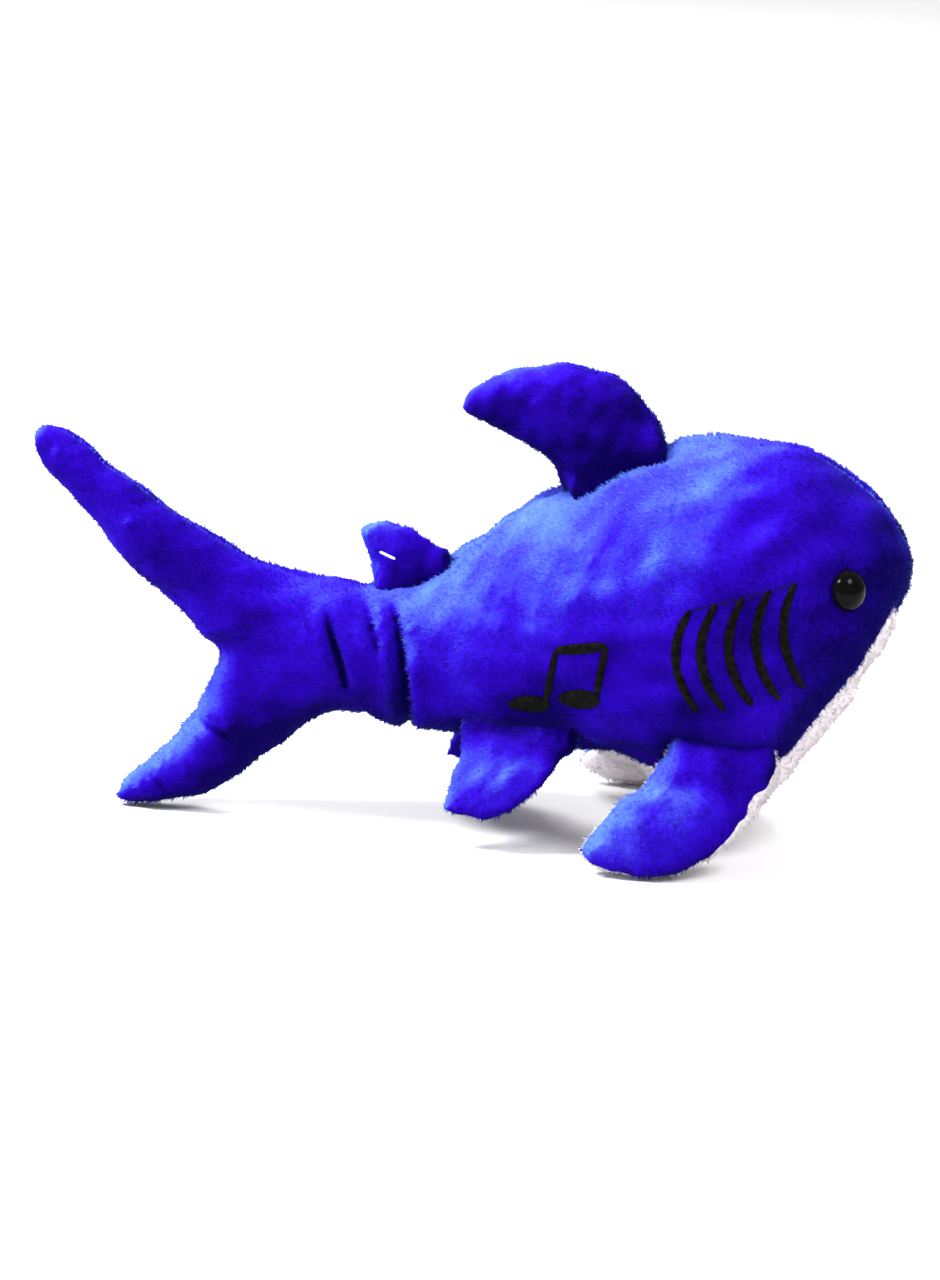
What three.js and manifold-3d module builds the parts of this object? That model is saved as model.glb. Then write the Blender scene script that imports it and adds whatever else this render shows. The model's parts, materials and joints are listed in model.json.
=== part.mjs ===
// A stuffed plush shark with a sewn-in sound module that plays when the embroidered note is pressed.
// Units are millimetres. +X is the nose, +Y the shark's left side, +Z up. The toy stands on its two
// pectoral fins and the tip of its lower tail lobe, and the origin is on the ground under the middle of
// its bounding box.
import * as THREE from "three";
import { mergeVertices } from "three/addons/utils/BufferGeometryUtils.js";
import Module from "manifold-3d";

const wasm = await Module();
wasm.setup();

// ---- Driving dimensions -------------------------------------------------------------------------------
const ORIGIN_SHIFT = new THREE.Vector3(6.1, 0, -0.28); // from the drawing's zero to the footprint's middle
const FABRIC = 1.6; // plush knit with its pile pressed flat
const SEAM_GAP = 0.3; // clearance between pieces that are sewn face to face
const STUFFING_GAP = 1.1; // between the fabric and the filling
const HINGE_GAP = 0.8; // clearance round a fin root or the tail's waist

const TAIL_PIVOT_X = -58;
const TAIL_WAIST_RADIUS = 17.8;

const EYE_RADIUS = 6; // a 12 mm safety eye
const EYE_PLACE = { x: 106, z: 86.8 };
const EYE_SHAFT_RADIUS = 1.7;
const EYE_SHAFT_LENGTH = 13;
const EYE_RISE = 4.7; // from the skin to the top of the dome
const EYE_HOLE_GAP = 0.4;
const WASHER = { radius: 7, from: -4.2, to: -3, gap: 0.2 };

const STITCH_WIDTH = 2.6; // satin stitch
const STITCH_HEIGHT = 0.9;
const STITCH_LIFT = 0.6; // clearance over the skin
const TAG_BAR_RADIUS = 0.35;
const TAG_LOOP_RADIUS = 0.3;

// Stations from the tail to the nose: the back's point, the belly's point, the half width there, and how
// far round the section from the back the side panel meets the belly panel, in degrees.
const BODY = [
  { top: [-62, 74.5], low: [-62, 33.5], half: 16.5, seam: 180 },
  { top: [-46, 72.7], low: [-46, 32.5], half: 17.3, seam: 180 },
  { top: [-30, 74], low: [-30, 30.5], half: 20.5, seam: 180 },
  { top: [-12, 82], low: [-12, 27.5], half: 25.5, seam: 177 },
  { top: [5, 93.5], low: [6, 25.2], half: 31.5, seam: 172 },
  { top: [20, 105], low: [22, 23.6], half: 37, seam: 167 },
  { top: [36, 116], low: [38, 20.5], half: 42, seam: 160 },
  { top: [54, 122], low: [56, 15.5], half: 46, seam: 147 },
  { top: [74, 124.3], low: [74, 10.3], half: 47.5, seam: 134 },
  { top: [92, 121], low: [84, 11.5], half: 45, seam: 127 },
  { top: [106, 114], low: [94, 24], half: 39, seam: 124 },
  { top: [115.5, 106.8], low: [104, 36], half: 32, seam: 110 },
  { top: [122, 99.5], low: [112, 50], half: 24.5, seam: 92 },
  { top: [125.8, 94], low: [120, 67], half: 16.5, seam: 86 },
  { top: [127.2, 90.5], low: [125, 79], half: 9, seam: 165 },
  { top: [127.6, 88], low: [127.2, 84.5], half: 3, seam: 180 },
];
const BELLY_START = 3; // first and last body stations that the belly panel reaches
const BELLY_END = 14;
const RINGS_PER_STATION = 2;
const BODY_FILL_END = 0.965; // the filling stops short of the nose, as a share of the body's length
const BELLY_FULLNESS = 2.3; // section exponent under the widest line: 2 is an ellipse, more is squarer

const TAIL_ROOT = [
  { top: [-30, 74], low: [-30, 30.5], half: 20.5 },
  { top: [-46, 72.7], low: [-46, 32.5], half: 17.3 },
];
const UPPER_LOBE = [
  ...TAIL_ROOT,
  { top: [-60, 76.2], low: [-66, 38], half: 16.2 },
  { top: [-74, 81.6], low: [-82.5, 52.5], half: 13.5 },
  { top: [-90, 89.5], low: [-98, 66.5], half: 11.5 },
  { top: [-105, 99], low: [-112, 79.5], half: 10 },
  { top: [-119, 108.2], low: [-125.5, 94], half: 8.2 },
  { top: [-130.5, 115.2], low: [-135.5, 104.5], half: 6.4 },
  { top: [-137.2, 117], low: [-139.8, 110], half: 3.8 },
];
const LOWER_LOBE = [
  ...TAIL_ROOT,
  { top: [-64, 66], low: [-54.5, 28], half: 16 },
  { top: [-80, 53], low: [-61.5, 20.5], half: 14.5 },
  { top: [-83.5, 38], low: [-72, 11.5], half: 12.5 },
  { top: [-91.5, 23.5], low: [-84, 5.2], half: 10 },
  { top: [-100.5, 14.5], low: [-96, 1.9], half: 8 },
  { top: [-107.2, 9.3], low: [-104.5, 0.15], half: 5.4 },
  { top: [-110.2, 6.8], low: [-108.6, 1], half: 3.4 },
];

// Each fin is drawn in its own plane from its root to its tip. For the fins that hang, z is minus the
// distance from the hinge line, and x is measured along it.
const DORSAL = {
  hinge: [[23, 0, 108], [50.5, 0, 120.2]],
  radius: 10.5,
  stations: [
    { top: [51, 117], low: [23, 104.5], half: 9.8 },
    { top: [46.5, 130], low: [16.5, 112.8], half: 11.5 },
    { top: [36.5, 140], low: [9.5, 116.8], half: 11 },
    { top: [20.5, 143.3], low: [2.5, 120.5], half: 9.5 },
    { top: [4, 141], low: [-3.5, 123.6], half: 7.5 },
    { top: [-5.5, 136.6], low: [-8.8, 125.8], half: 5.2 },
    { top: [-10.6, 133], low: [-12, 127], half: 3 },
  ],
};
const REAR_DORSAL = {
  hinge: [[-34, 0, 74.4], [-12, 0, 81.6]],
  radius: 5,
  stations: [
    { top: [-11, 80.5], low: [-34.5, 72.8], half: 4.8 },
    { top: [-15, 84.8], low: [-36.2, 78], half: 5 },
    { top: [-21, 88.8], low: [-38.2, 83], half: 4.4 },
    { top: [-28, 91.9], low: [-39.6, 86.8], half: 3.2 },
    { top: [-33.8, 92.4], low: [-39.9, 89], half: 2.2 },
  ],
};
const PECTORAL = {
  place: [71, 37.8, 31.6],
  yaw: 0,
  droop: 65, // degrees below horizontal
  reach: [-15.5, 15.5], // ends of the root along the hinge, from its middle
  radius: 7.3,
  seamShift: 1.2, // how far the white under panel wraps round the fin's edge
  stations: [
    { top: [15.5, 1], low: [-16, 1], half: 6.6 },
    { top: [13.6, -9], low: [-21.5, -5], half: 6.6 },
    { top: [7.5, -19], low: [-28.5, -10.5], half: 7.2 },
    { top: [-2, -28.5], low: [-33.5, -15], half: 7 },
    { top: [-15, -33.8], low: [-37, -20], half: 5.6 },
    { top: [-28.5, -33.5], low: [-40, -23.8], half: 4.2 },
    { top: [-37, -31], low: [-41.8, -26.4], half: 2.4 },
  ],
};
const PELVIC = {
  place: [11, 23.4, 32.4],
  yaw: 15.6,
  droop: 60,
  reach: [-17, 17],
  radius: 3.6,
  stations: [
    { top: [17.5, 0.6], low: [-17.4, 0.6], half: 3.3 },
    { top: [13.5, -7.5], low: [-18.2, -7.5], half: 3.6 },
    { top: [8.5, -14.5], low: [-19, -14.5], half: 3.2 },
    { top: [2.5, -21], low: [-19.8, -20.4], half: 2.6 },
    { top: [-5, -25], low: [-19.8, -23.6], half: 1.7 },
  ],
};
const BIG_FIN_GRID = { rings: 8, around: 12 };
const SMALL_FIN_GRID = { rings: 5, around: 10 };

// Five curved gill slits, from the hindmost to the one nearest the eye: top, middle and bottom points on
// the side.
const GILLS = [
  [[59, 80.5], [55.6, 64.8], [64, 49.5]],
  [[66.5, 82.5], [62.8, 66.3], [71.7, 51]],
  [[74.2, 84.5], [70.8, 68.3], [79.6, 52.8]],
  [[81.8, 87], [78.6, 70.5], [87.2, 54.5]],
  [[89.2, 89], [86.4, 74], [94, 57]],
];
const NOTE = {
  heads: [[13.6, 45.6], [28.2, 49.6]], // middles of the two note heads
  headSize: [5.6, 2.9],
  headTilt: 8,
  stems: [[[18.2, 47.2], [20.4, 63.2]], [[32.8, 51.2], [35, 66.4]]],
  width: 2.4,
  beamWidth: 3,
};

// The sound module: a round case whose axis runs inwards from its front face, where its depths start.
const MODULE = {
  place: [24.4, -27.4, 57], // middle of the case's front face
  turn: -18.7, // turns the case's axis to the skin's normal
  radius: 16.5,
  wall: 3,
  depth: 22.4,
  split: 8,
  frontThickness: 1.4,
  coverThickness: 1.6,
  fit: 0.4, // clearance of the board and the cover inside the case
  buttonHole: 7.2,
  buttonRise: 3.2,
  pocketGap: 0.8,
  pocketMouth: 12, // how far the pocket in the filling reaches out past the case
  pocketSpare: 2,
};
const SCREW = {
  circle: 15,
  angles: [30, 150, 270],
  shank: 0.7,
  head: 1.3,
  pilot: 0.85,
  clearance: 1.1,
  grip: 4,
};
const BUTTON_SPRING = { coil: 5, wire: 0.28, from: 3.5, to: 7, turns: 2.5 };
const SWITCH = { half: 2, from: 5.9, to: 7.4 };
const BOARD = { from: 7.6, to: 8.8 };
const MAGNET = { radius: 6.2, from: 12.3, to: 14.4 };
const CELL = { radius: 5.8, height: 5.4, circle: 6.9, from: 14.9, count: 3 }; // LR44 button cells

// ---- Materials ----------------------------------------------------------------------------------------
const finish = (color, roughness, metalness = 0) =>
  new THREE.MeshStandardMaterial({ color, roughness, metalness });
const BLUE_PLUSH = finish(0x1f12c8, 0.95);
const WHITE_PLUSH = finish(0xf1ecee, 0.95);
const FIBREFILL = finish(0xf7f7f4, 1);
const BLACK_THREAD = finish(0x14140f, 0.6);
const EYE_PLASTIC = finish(0x060606, 0.12);
const WHITE_NYLON = finish(0xf4f4f4, 0.4);
const CASE_PLASTIC = finish(0xe4e4e0, 0.5);
const BUTTON_PLASTIC = finish(0xc62828, 0.5);
const BOARD_LACQUER = finish(0x1d6b3a, 0.5);
const STEEL = finish(0xb9bcc0, 0.3, 1);
const SPEAKER_PAPER = finish(0x202022, 0.8);

// ---- Solids -------------------------------------------------------------------------------------------
function solidOf(geometry) {
  const bare = new THREE.BufferGeometry();
  bare.setAttribute("position", geometry.getAttribute("position").clone());
  if (geometry.index) bare.setIndex(geometry.index.clone());
  const merged = mergeVertices(bare, 1e-4);
  const corners = merged.index.array;
  const kept = [];
  for (let i = 0; i < corners.length; i += 3) {
    const [a, b, c] = corners.slice(i, i + 3);
    if (a !== b && b !== c && a !== c) kept.push(a, b, c);
  }
  return new wasm.Manifold(
    new wasm.Mesh({
      numProp: 3,
      vertProperties: merged.attributes.position.array,
      triVerts: new Uint32Array(kept),
    }),
  );
}

function geometryOf(solid) {
  const mesh = solid.getMesh();
  const geometry = new THREE.BufferGeometry();
  geometry.setAttribute("position", new THREE.BufferAttribute(mesh.vertProperties, 3));
  geometry.setIndex(new THREE.BufferAttribute(mesh.triVerts, 1));
  return geometry.toNonIndexed();
}

// A cylinder between two points, lengthened past each by spare.
function rod(from, to, radius, spare = 0, sides = 20) {
  const a = new THREE.Vector3(...from);
  const b = new THREE.Vector3(...to);
  const along = b.clone().sub(a);
  const geometry = new THREE.CylinderGeometry(radius, radius, along.length() + 2 * spare, sides);
  const turn = new THREE.Quaternion().setFromUnitVectors(new THREE.Vector3(0, 1, 0), along.normalize());
  geometry.applyQuaternion(turn);
  const middle = a.add(b).multiplyScalar(0.5);
  return solidOf(geometry.translate(middle.x, middle.y, middle.z));
}

function block(low, high) {
  const size = high.map((value, i) => value - low[i]);
  const geometry = new THREE.BoxGeometry(...size);
  return solidOf(geometry.translate(...low.map((value, i) => value + size[i] / 2)));
}

// A turned solid about Y from a profile of [radius, y] points.
function turned(profile, sides = 28) {
  const points = profile.map(([r, y]) => new THREE.Vector2(r, y));
  const solid = solidOf(new THREE.LatheGeometry(points, sides));
  return solid.volume() < 0 ? solidOf(flipped(new THREE.LatheGeometry(points, sides))) : solid;
}

function flipped(geometry) {
  const corners = geometry.index.array;
  for (let i = 0; i < corners.length; i += 3) {
    [corners[i + 1], corners[i + 2]] = [corners[i + 2], corners[i + 1]];
  }
  return geometry;
}

const ringOf = (profile, sides) => turned([...profile, profile[0]], sides);
const disc = (radius, from, to, sides) => turned([[0, from], [radius, from], [radius, to], [0, to]], sides);
const washer = (inner, outer, from, to, sides) =>
  ringOf([[inner, from], [outer, from], [outer, to], [inner, to]], sides);

// ---- Lofted skins -------------------------------------------------------------------------------------
// A smooth surface through stations. at(s, phi, inset) gives its point s of the way along and phi round
// from the top towards -Y, set in along the surface normal.
class Loft {
  constructor(stations, fullness = 2) {
    const curve = (pick) => new THREE.CatmullRomCurve3(stations.map(pick), false, "catmullrom", 0.5);
    this.top = curve(({ top: [x, z] }) => new THREE.Vector3(x, 0, z));
    this.low = curve(({ low: [x, z] }) => new THREE.Vector3(x, 0, z));
    this.sizes = curve(({ half, seam = 180 }) => new THREE.Vector3(half, seam, 0));
    this.fullness = fullness;
    this.last = stations.length - 1;
  }

  raw(s, phi) {
    const top = this.top.getPoint(s);
    const low = this.low.getPoint(s);
    const middle = top.clone().add(low).multiplyScalar(0.5);
    const exponent = 2 / (Math.cos(phi) < 0 ? this.fullness : 2);
    const rise = Math.sign(Math.cos(phi)) * Math.abs(Math.cos(phi)) ** exponent;
    const side = Math.sign(Math.sin(phi)) * Math.abs(Math.sin(phi)) ** exponent;
    const point = top.sub(middle).multiplyScalar(rise).add(middle);
    point.y = -Math.max(this.sizes.getPoint(s).x, 0.4) * side;
    return point;
  }

  normal(s, phi) {
    const step = 1e-3;
    const sTo = Math.min(s + step, 1);
    const sFrom = Math.max(s - step, 0);
    const along = this.raw(sTo, phi).sub(this.raw(sFrom, phi));
    const round = this.raw(s, phi + step).sub(this.raw(s, phi - step));
    const normal = along.cross(round).normalize();
    const middle = this.raw(s, 0).add(this.raw(s, Math.PI)).multiplyScalar(0.5);
    const outward = this.raw(s, phi).sub(middle);
    return normal.dot(outward) < 0 ? normal.negate() : normal;
  }

  at(s, phi, inset = 0) {
    const point = this.raw(s, phi);
    return inset ? point.addScaledVector(this.normal(s, phi), -inset) : point;
  }

  seam(s) {
    return THREE.MathUtils.degToRad(Math.min(this.sizes.getPoint(s).y, 180));
  }

  // The loft up to sEnd, set in all round, as a closed solid with flat ends.
  solid(rings, around, inset = 0, sEnd = 1) {
    const positions = [];
    const corners = [];
    for (let i = 0; i <= rings; i++)
      for (let j = 0; j < around; j++)
        positions.push(...this.at((sEnd * i) / rings, (2 * Math.PI * j) / around, inset).toArray());
    const index = (i, j) => i * around + (j % around);
    for (let i = 0; i < rings; i++)
      for (let j = 0; j < around; j++)
        addQuad(corners, index(i, j), index(i, j + 1), index(i + 1, j + 1), index(i + 1, j));
    for (const [ring, near, far] of [[0, 1, 0], [rings, 0, 1]]) {
      const centre = new THREE.Vector3();
      for (let j = 0; j < around; j++)
        centre.add(new THREE.Vector3().fromArray(positions, 3 * index(ring, j)));
      const hub = positions.length / 3;
      positions.push(...centre.divideScalar(around).toArray());
      for (let j = 0; j < around; j++) corners.push(hub, index(ring, j + near), index(ring, j + far));
    }
    return facingOut(positions, corners);
  }

  // A panel of fabric over part of the surface. phi(s) gives its two edges.
  panel(thickness, [sFrom, sTo], phi, rings, across) {
    const positions = [];
    const corners = [];
    for (const inset of [0, thickness])
      for (let i = 0; i <= rings; i++)
        for (let j = 0; j <= across; j++) {
          const s = THREE.MathUtils.lerp(sFrom, sTo, i / rings);
          const [from, to] = phi(s);
          positions.push(...this.at(s, THREE.MathUtils.lerp(from, to, j / across), inset).toArray());
        }
    const index = (layer, i, j) => (layer * (rings + 1) + i) * (across + 1) + j;
    for (let i = 0; i < rings; i++)
      for (let j = 0; j < across; j++) {
        addQuad(corners, index(0, i, j), index(0, i, j + 1), index(0, i + 1, j + 1), index(0, i + 1, j));
        addQuad(corners, index(1, i, j), index(1, i + 1, j), index(1, i + 1, j + 1), index(1, i, j + 1));
      }
    for (let i = 0; i < rings; i++)
      for (const [j, a, b] of [[0, 1, 0], [across, 0, 1]])
        addQuad(corners, index(a, i, j), index(b, i, j), index(b, i + 1, j), index(a, i + 1, j));
    for (let j = 0; j < across; j++)
      for (const [i, a, b] of [[0, 0, 1], [rings, 1, 0]])
        addQuad(corners, index(a, i, j), index(b, i, j), index(b, i, j + 1), index(a, i, j + 1));
    return facingOut(positions, corners);
  }
}

// The same stations drawn in by inset all round, without the tip, which stays solid.
function shrunk(stations, inset) {
  if (inset === 0) return stations;
  return stations.slice(0, -1).map(({ top, low, half, ...rest }) => {
    const across = [top[0] - low[0], top[1] - low[1]];
    const share = inset / Math.hypot(...across);
    return {
      ...rest,
      top: [top[0] - across[0] * share, top[1] - across[1] * share],
      low: [low[0] + across[0] * share, low[1] + across[1] * share],
      half: half - inset,
    };
  });
}

function addQuad(corners, a, b, c, d) {
  corners.push(a, b, c, a, c, d);
}

function facingOut(positions, corners) {
  const geometry = new THREE.BufferGeometry();
  geometry.setAttribute("position", new THREE.BufferAttribute(new Float32Array(positions), 3));
  geometry.setIndex(corners);
  const solid = solidOf(geometry);
  return solid.volume() < 0 ? solidOf(flipped(geometry)) : solid;
}

// ---- The scene graph ----------------------------------------------------------------------------------
const shark = new THREE.Group();
shark.position.copy(ORIGIN_SHIFT);

function add(name, solid, material, parent = shark) {
  const mesh = new THREE.Mesh(geometryOf(solid), material);
  mesh.name = name;
  parent.add(mesh);
  return mesh;
}

const subtractAll = (solid, cuts) => cuts.reduce((left, cut) => left.subtract(cut), solid);
const SIDES = [["right", -1], ["left", 1]];
const FAR = 200;
// Half of space to one side of the plane y = at, less half a seam gap.
const halfSpace = (sign, at = 0) =>
  sign < 0
    ? block([-FAR, -FAR, -FAR], [FAR, at - SEAM_GAP / 2, FAR])
    : block([-FAR, at + SEAM_GAP / 2, -FAR], [FAR, FAR, FAR]);
const behind = (x) => block([-FAR, -FAR, -FAR], [x, FAR, FAR]);

const body = new Loft(BODY, BELLY_FULLNESS);
const bodyMesh = new THREE.Mesh(geometryOf(body.solid(44, 36)));
bodyMesh.material.side = THREE.DoubleSide;

// Where a line along Y through (x, z) meets the body's side, and the outward normal there.
function onSide(x, z, sign) {
  const ray = new THREE.Raycaster(new THREE.Vector3(x, sign * FAR, z), new THREE.Vector3(0, -sign, 0));
  const hit = ray.intersectObject(bodyMesh)[0];
  const normal = hit.face.normal.clone();
  return { point: hit.point, normal: normal.dot(ray.ray.direction) > 0 ? normal.negate() : normal };
}

// A group whose local frame has its hinge along X and hangs down along -Z at a droop below horizontal.
function finGroup({ place: [x, y, z], yaw, droop }, sign) {
  const group = new THREE.Group();
  const { degToRad } = THREE.MathUtils;
  group.rotation.order = "ZXY";
  group.position.set(x, sign * y, z);
  group.rotation.set(degToRad(sign * (90 - droop)), 0, degToRad(sign * yaw));
  shark.add(group);
  group.updateMatrix();
  return group;
}

// A fin's solid, set in by inset: the loft on the free side of its hinge, and a round root about the hinge.
function finSolid({ stations, radius }, hinge, inset, grid, free) {
  const loft = new Loft(shrunk(stations, inset)).solid(grid.rings, grid.around);
  return loft.intersect(free).add(rod(...hinge, radius - inset, -inset, 16));
}

// ---- Body cuts: the tail's waist, the fin roots, the eyes and the sound module ------------------------
const waist = (radius) => rod([TAIL_PIVOT_X, 0, -FAR], [TAIL_PIVOT_X, 0, FAR], radius, 0, 40);
const tailRoom = waist(TAIL_WAIST_RADIUS + HINGE_GAP).add(behind(TAIL_PIVOT_X));
const spineRooms = [DORSAL, REAR_DORSAL].map(({ hinge, radius }) =>
  rod(...hinge, radius + HINGE_GAP, HINGE_GAP, 24),
);

const hangingHinge = ({ reach: [from, to] }) => [[from, 0, 0], [to, 0, 0]];
function hangingRoom(fin, sign) {
  const matrix = finGroupMatrix(fin, sign);
  return rod(...hangingHinge(fin), fin.radius + HINGE_GAP, HINGE_GAP, 24).transform(matrix.elements);
}
function finGroupMatrix(fin, sign) {
  const group = finGroup(fin, sign);
  shark.remove(group);
  return group.matrix;
}

const finRooms = [PECTORAL, PELVIC].flatMap((fin) => SIDES.map(([, sign]) => hangingRoom(fin, sign)));

const eyeSpots = SIDES.map(([side, sign]) => ({ side, ...onSide(EYE_PLACE.x, EYE_PLACE.z, sign) }));
const eyeRod = ({ point, normal }, radius, from, to) =>
  rod(
    point.clone().addScaledVector(normal, from).toArray(),
    point.clone().addScaledVector(normal, to).toArray(),
    radius,
    0,
    16,
  );

const module = new THREE.Group();
module.position.set(...MODULE.place);
module.rotation.z = THREE.MathUtils.degToRad(MODULE.turn);
module.updateMatrix();
const modulePocket = disc(
  MODULE.radius + MODULE.pocketGap,
  -MODULE.pocketMouth,
  MODULE.depth + MODULE.pocketSpare,
).transform(module.matrix.elements);

// ---- Body ---------------------------------------------------------------------------------------------
const eyeHoles = eyeSpots.map((spot) => eyeRod(spot, EYE_SHAFT_RADIUS + EYE_HOLE_GAP, -20, 10));
const skinCuts = [tailRoom, ...spineRooms, ...finRooms, ...eyeHoles];
const seamAngle = (s) => SEAM_GAP / 2 / Math.max(body.sizes.getPoint(s).x, 3);
const panelEdges = (sign) => (s) => {
  const gap = seamAngle(s);
  return [sign * gap, sign * (body.seam(s) - gap)];
};
for (const [side, sign] of SIDES) {
  const skin = body.panel(FABRIC, [0, 1], panelEdges(-sign), RINGS_PER_STATION * body.last, 7);
  add(`skin_${side}`, subtractAll(skin, skinCuts), BLUE_PLUSH);
}
const bellyEdges = (s) => [body.seam(s) + seamAngle(s), 2 * Math.PI - body.seam(s) - seamAngle(s)];
const bellySpan = [BELLY_START / body.last, BELLY_END / body.last];
const bellyRings = RINGS_PER_STATION * (BELLY_END - BELLY_START);
const belly = body.panel(FABRIC, bellySpan, bellyEdges, bellyRings, 5);
add("belly_panel", subtractAll(belly, skinCuts), WHITE_PLUSH);

const washerRooms = eyeSpots.map((spot) => eyeRod(spot, WASHER.radius + 0.5, WASHER.from - 0.6, 4));
const bodyFill = body.solid(20, 20, FABRIC + STUFFING_GAP, BODY_FILL_END);
add("body_stuffing", subtractAll(bodyFill, [...skinCuts, ...washerRooms, modulePocket]), FIBREFILL);

// ---- Tail ---------------------------------------------------------------------------------------------
const tailReach = waist(TAIL_WAIST_RADIUS).add(behind(TAIL_PIVOT_X));
const tailSolid = (inset) =>
  new Loft(shrunk(UPPER_LOBE, inset)).solid(11, 12).add(new Loft(shrunk(LOWER_LOBE, inset)).solid(11, 12));
const tailShell = tailSolid(0).subtract(tailSolid(FABRIC)).intersect(tailReach);
const addHalves = (shell, nameOf) =>
  SIDES.forEach(([side, sign]) => add(nameOf(side), shell.intersect(halfSpace(sign)), BLUE_PLUSH));
addHalves(tailShell, (side) => `tail_skin_${side}`);
add("tail_stuffing", tailSolid(FABRIC + STUFFING_GAP).intersect(tailReach), FIBREFILL);

// ---- Fins on the back ---------------------------------------------------------------------------------
// The half of space above a hinge line on the back.
function above([[x0, , z0], [x1, , z1]]) {
  const slope = Math.atan2(z1 - z0, x1 - x0);
  const half = new THREE.BoxGeometry(FAR, FAR, FAR).translate(0, 0, FAR / 2);
  half.rotateY(-slope).translate((x0 + x1) / 2, 0, (z0 + z1) / 2);
  return solidOf(half);
}

const dorsalAt = (inset) => finSolid(DORSAL, DORSAL.hinge, inset, BIG_FIN_GRID, above(DORSAL.hinge));
addHalves(dorsalAt(0).subtract(dorsalAt(FABRIC)), (side) => `dorsal_fin_${side}_panel`);
add("dorsal_fin_stuffing", dorsalAt(FABRIC + STUFFING_GAP), FIBREFILL);

const rearDorsal = finSolid(REAR_DORSAL, REAR_DORSAL.hinge, 0, SMALL_FIN_GRID, above(REAR_DORSAL.hinge));
addHalves(rearDorsal, (side) => `rear_dorsal_fin_${side}_panel`);

// ---- Fins that hang from the flanks -------------------------------------------------------------------
const below = block([-FAR, -FAR, -FAR], [FAR, FAR, 0]);
const hangingFin = (fin, inset, grid) => finSolid(fin, hangingHinge(fin), inset, grid, below);

const pectoralHollow = hangingFin(PECTORAL, FABRIC, BIG_FIN_GRID);
const pectoralShell = hangingFin(PECTORAL, 0, BIG_FIN_GRID).subtract(pectoralHollow);
const pectoralFill = hangingFin(PECTORAL, FABRIC + STUFFING_GAP, BIG_FIN_GRID);
const pelvicWhole = hangingFin(PELVIC, 0, SMALL_FIN_GRID);
for (const [side, sign] of SIDES) {
  const pectoral = finGroup(PECTORAL, sign);
  const seam = sign * PECTORAL.seamShift;
  const topPanel = pectoralShell.intersect(halfSpace(sign, seam));
  const underPanel = pectoralShell.intersect(halfSpace(-sign, seam));
  add(`pectoral_${side}_top_panel`, topPanel, BLUE_PLUSH, pectoral);
  add(`pectoral_${side}_under_panel`, underPanel, WHITE_PLUSH, pectoral);
  add(`pectoral_${side}_stuffing`, pectoralFill, FIBREFILL, pectoral);
  const pelvic = finGroup(PELVIC, sign);
  add(`pelvic_${side}_outer_panel`, pelvicWhole.intersect(halfSpace(sign)), BLUE_PLUSH, pelvic);
  add(`pelvic_${side}_inner_panel`, pelvicWhole.intersect(halfSpace(-sign)), BLUE_PLUSH, pelvic);
}

// ---- Safety eyes --------------------------------------------------------------------------------------
const EYE_DOME = [[1, 0.4], [0.97, 1.6], [0.78, 3.2], [0.42, 4.3]]; // share of the radius, and height
const eyeSolid = turned([
  [0, -EYE_SHAFT_LENGTH],
  [EYE_SHAFT_RADIUS, -EYE_SHAFT_LENGTH],
  [EYE_SHAFT_RADIUS, EYE_DOME[0][1]],
  ...EYE_DOME.map(([share, height]) => [share * EYE_RADIUS, height]),
  [0, EYE_RISE],
], 24);
const washerSolid = washer(EYE_SHAFT_RADIUS + WASHER.gap, WASHER.radius, WASHER.from, WASHER.to, 20);
for (const { side, point, normal } of eyeSpots) {
  const socket = new THREE.Group();
  socket.position.copy(point);
  socket.quaternion.setFromUnitVectors(new THREE.Vector3(0, 1, 0), normal);
  shark.add(socket);
  add(`eye_${side}`, eyeSolid, EYE_PLASTIC, socket);
  add(`eye_washer_${side}`, washerSolid, WHITE_NYLON, socket);
}

// ---- Embroidery ---------------------------------------------------------------------------------------
// A raised band of stitching that bends through three [x, z] points on the body's side.
function stitchBand(line, width, sign, steps) {
  const [from, through, to] = line.map(([x, z]) => new THREE.Vector3(x, 0, z));
  const pull = through.multiplyScalar(2).sub(from.clone().add(to).multiplyScalar(0.5));
  const curve = new THREE.QuadraticBezierCurve3(from, pull, to);
  const layers = [[], []];
  for (let i = 0; i <= steps; i++) {
    const { x, z } = curve.getPoint(i / steps);
    const tangent = curve.getTangent(i / steps);
    for (const offset of [-width / 2, width / 2]) {
      const { point, normal } = onSide(x - tangent.z * offset, z + tangent.x * offset, sign);
      [STITCH_LIFT, STITCH_LIFT + STITCH_HEIGHT].forEach((lift, layer) =>
        layers[layer].push(point.clone().addScaledVector(normal, lift)),
      );
    }
  }
  const positions = layers.flat().flatMap((point) => point.toArray());
  const index = (layer, i, j) => layer * 2 * (steps + 1) + 2 * i + j;
  const corners = [];
  const rim = [[1, 0], [1, 1], [0, 1], [0, 0]];
  for (let i = 0; i < steps; i++)
    rim.forEach(([layer, edge], k) => {
      const [nextLayer, nextEdge] = rim[(k + 1) % rim.length];
      const near = [index(layer, i, edge), index(nextLayer, i, nextEdge)];
      addQuad(corners, ...near, index(nextLayer, i + 1, nextEdge), index(layer, i + 1, edge));
    });
  addQuad(corners, index(0, 0, 0), index(0, 0, 1), index(1, 0, 1), index(1, 0, 0));
  addQuad(corners, index(0, steps, 0), index(1, steps, 0), index(1, steps, 1), index(0, steps, 1));
  return facingOut(positions, corners);
}

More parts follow.
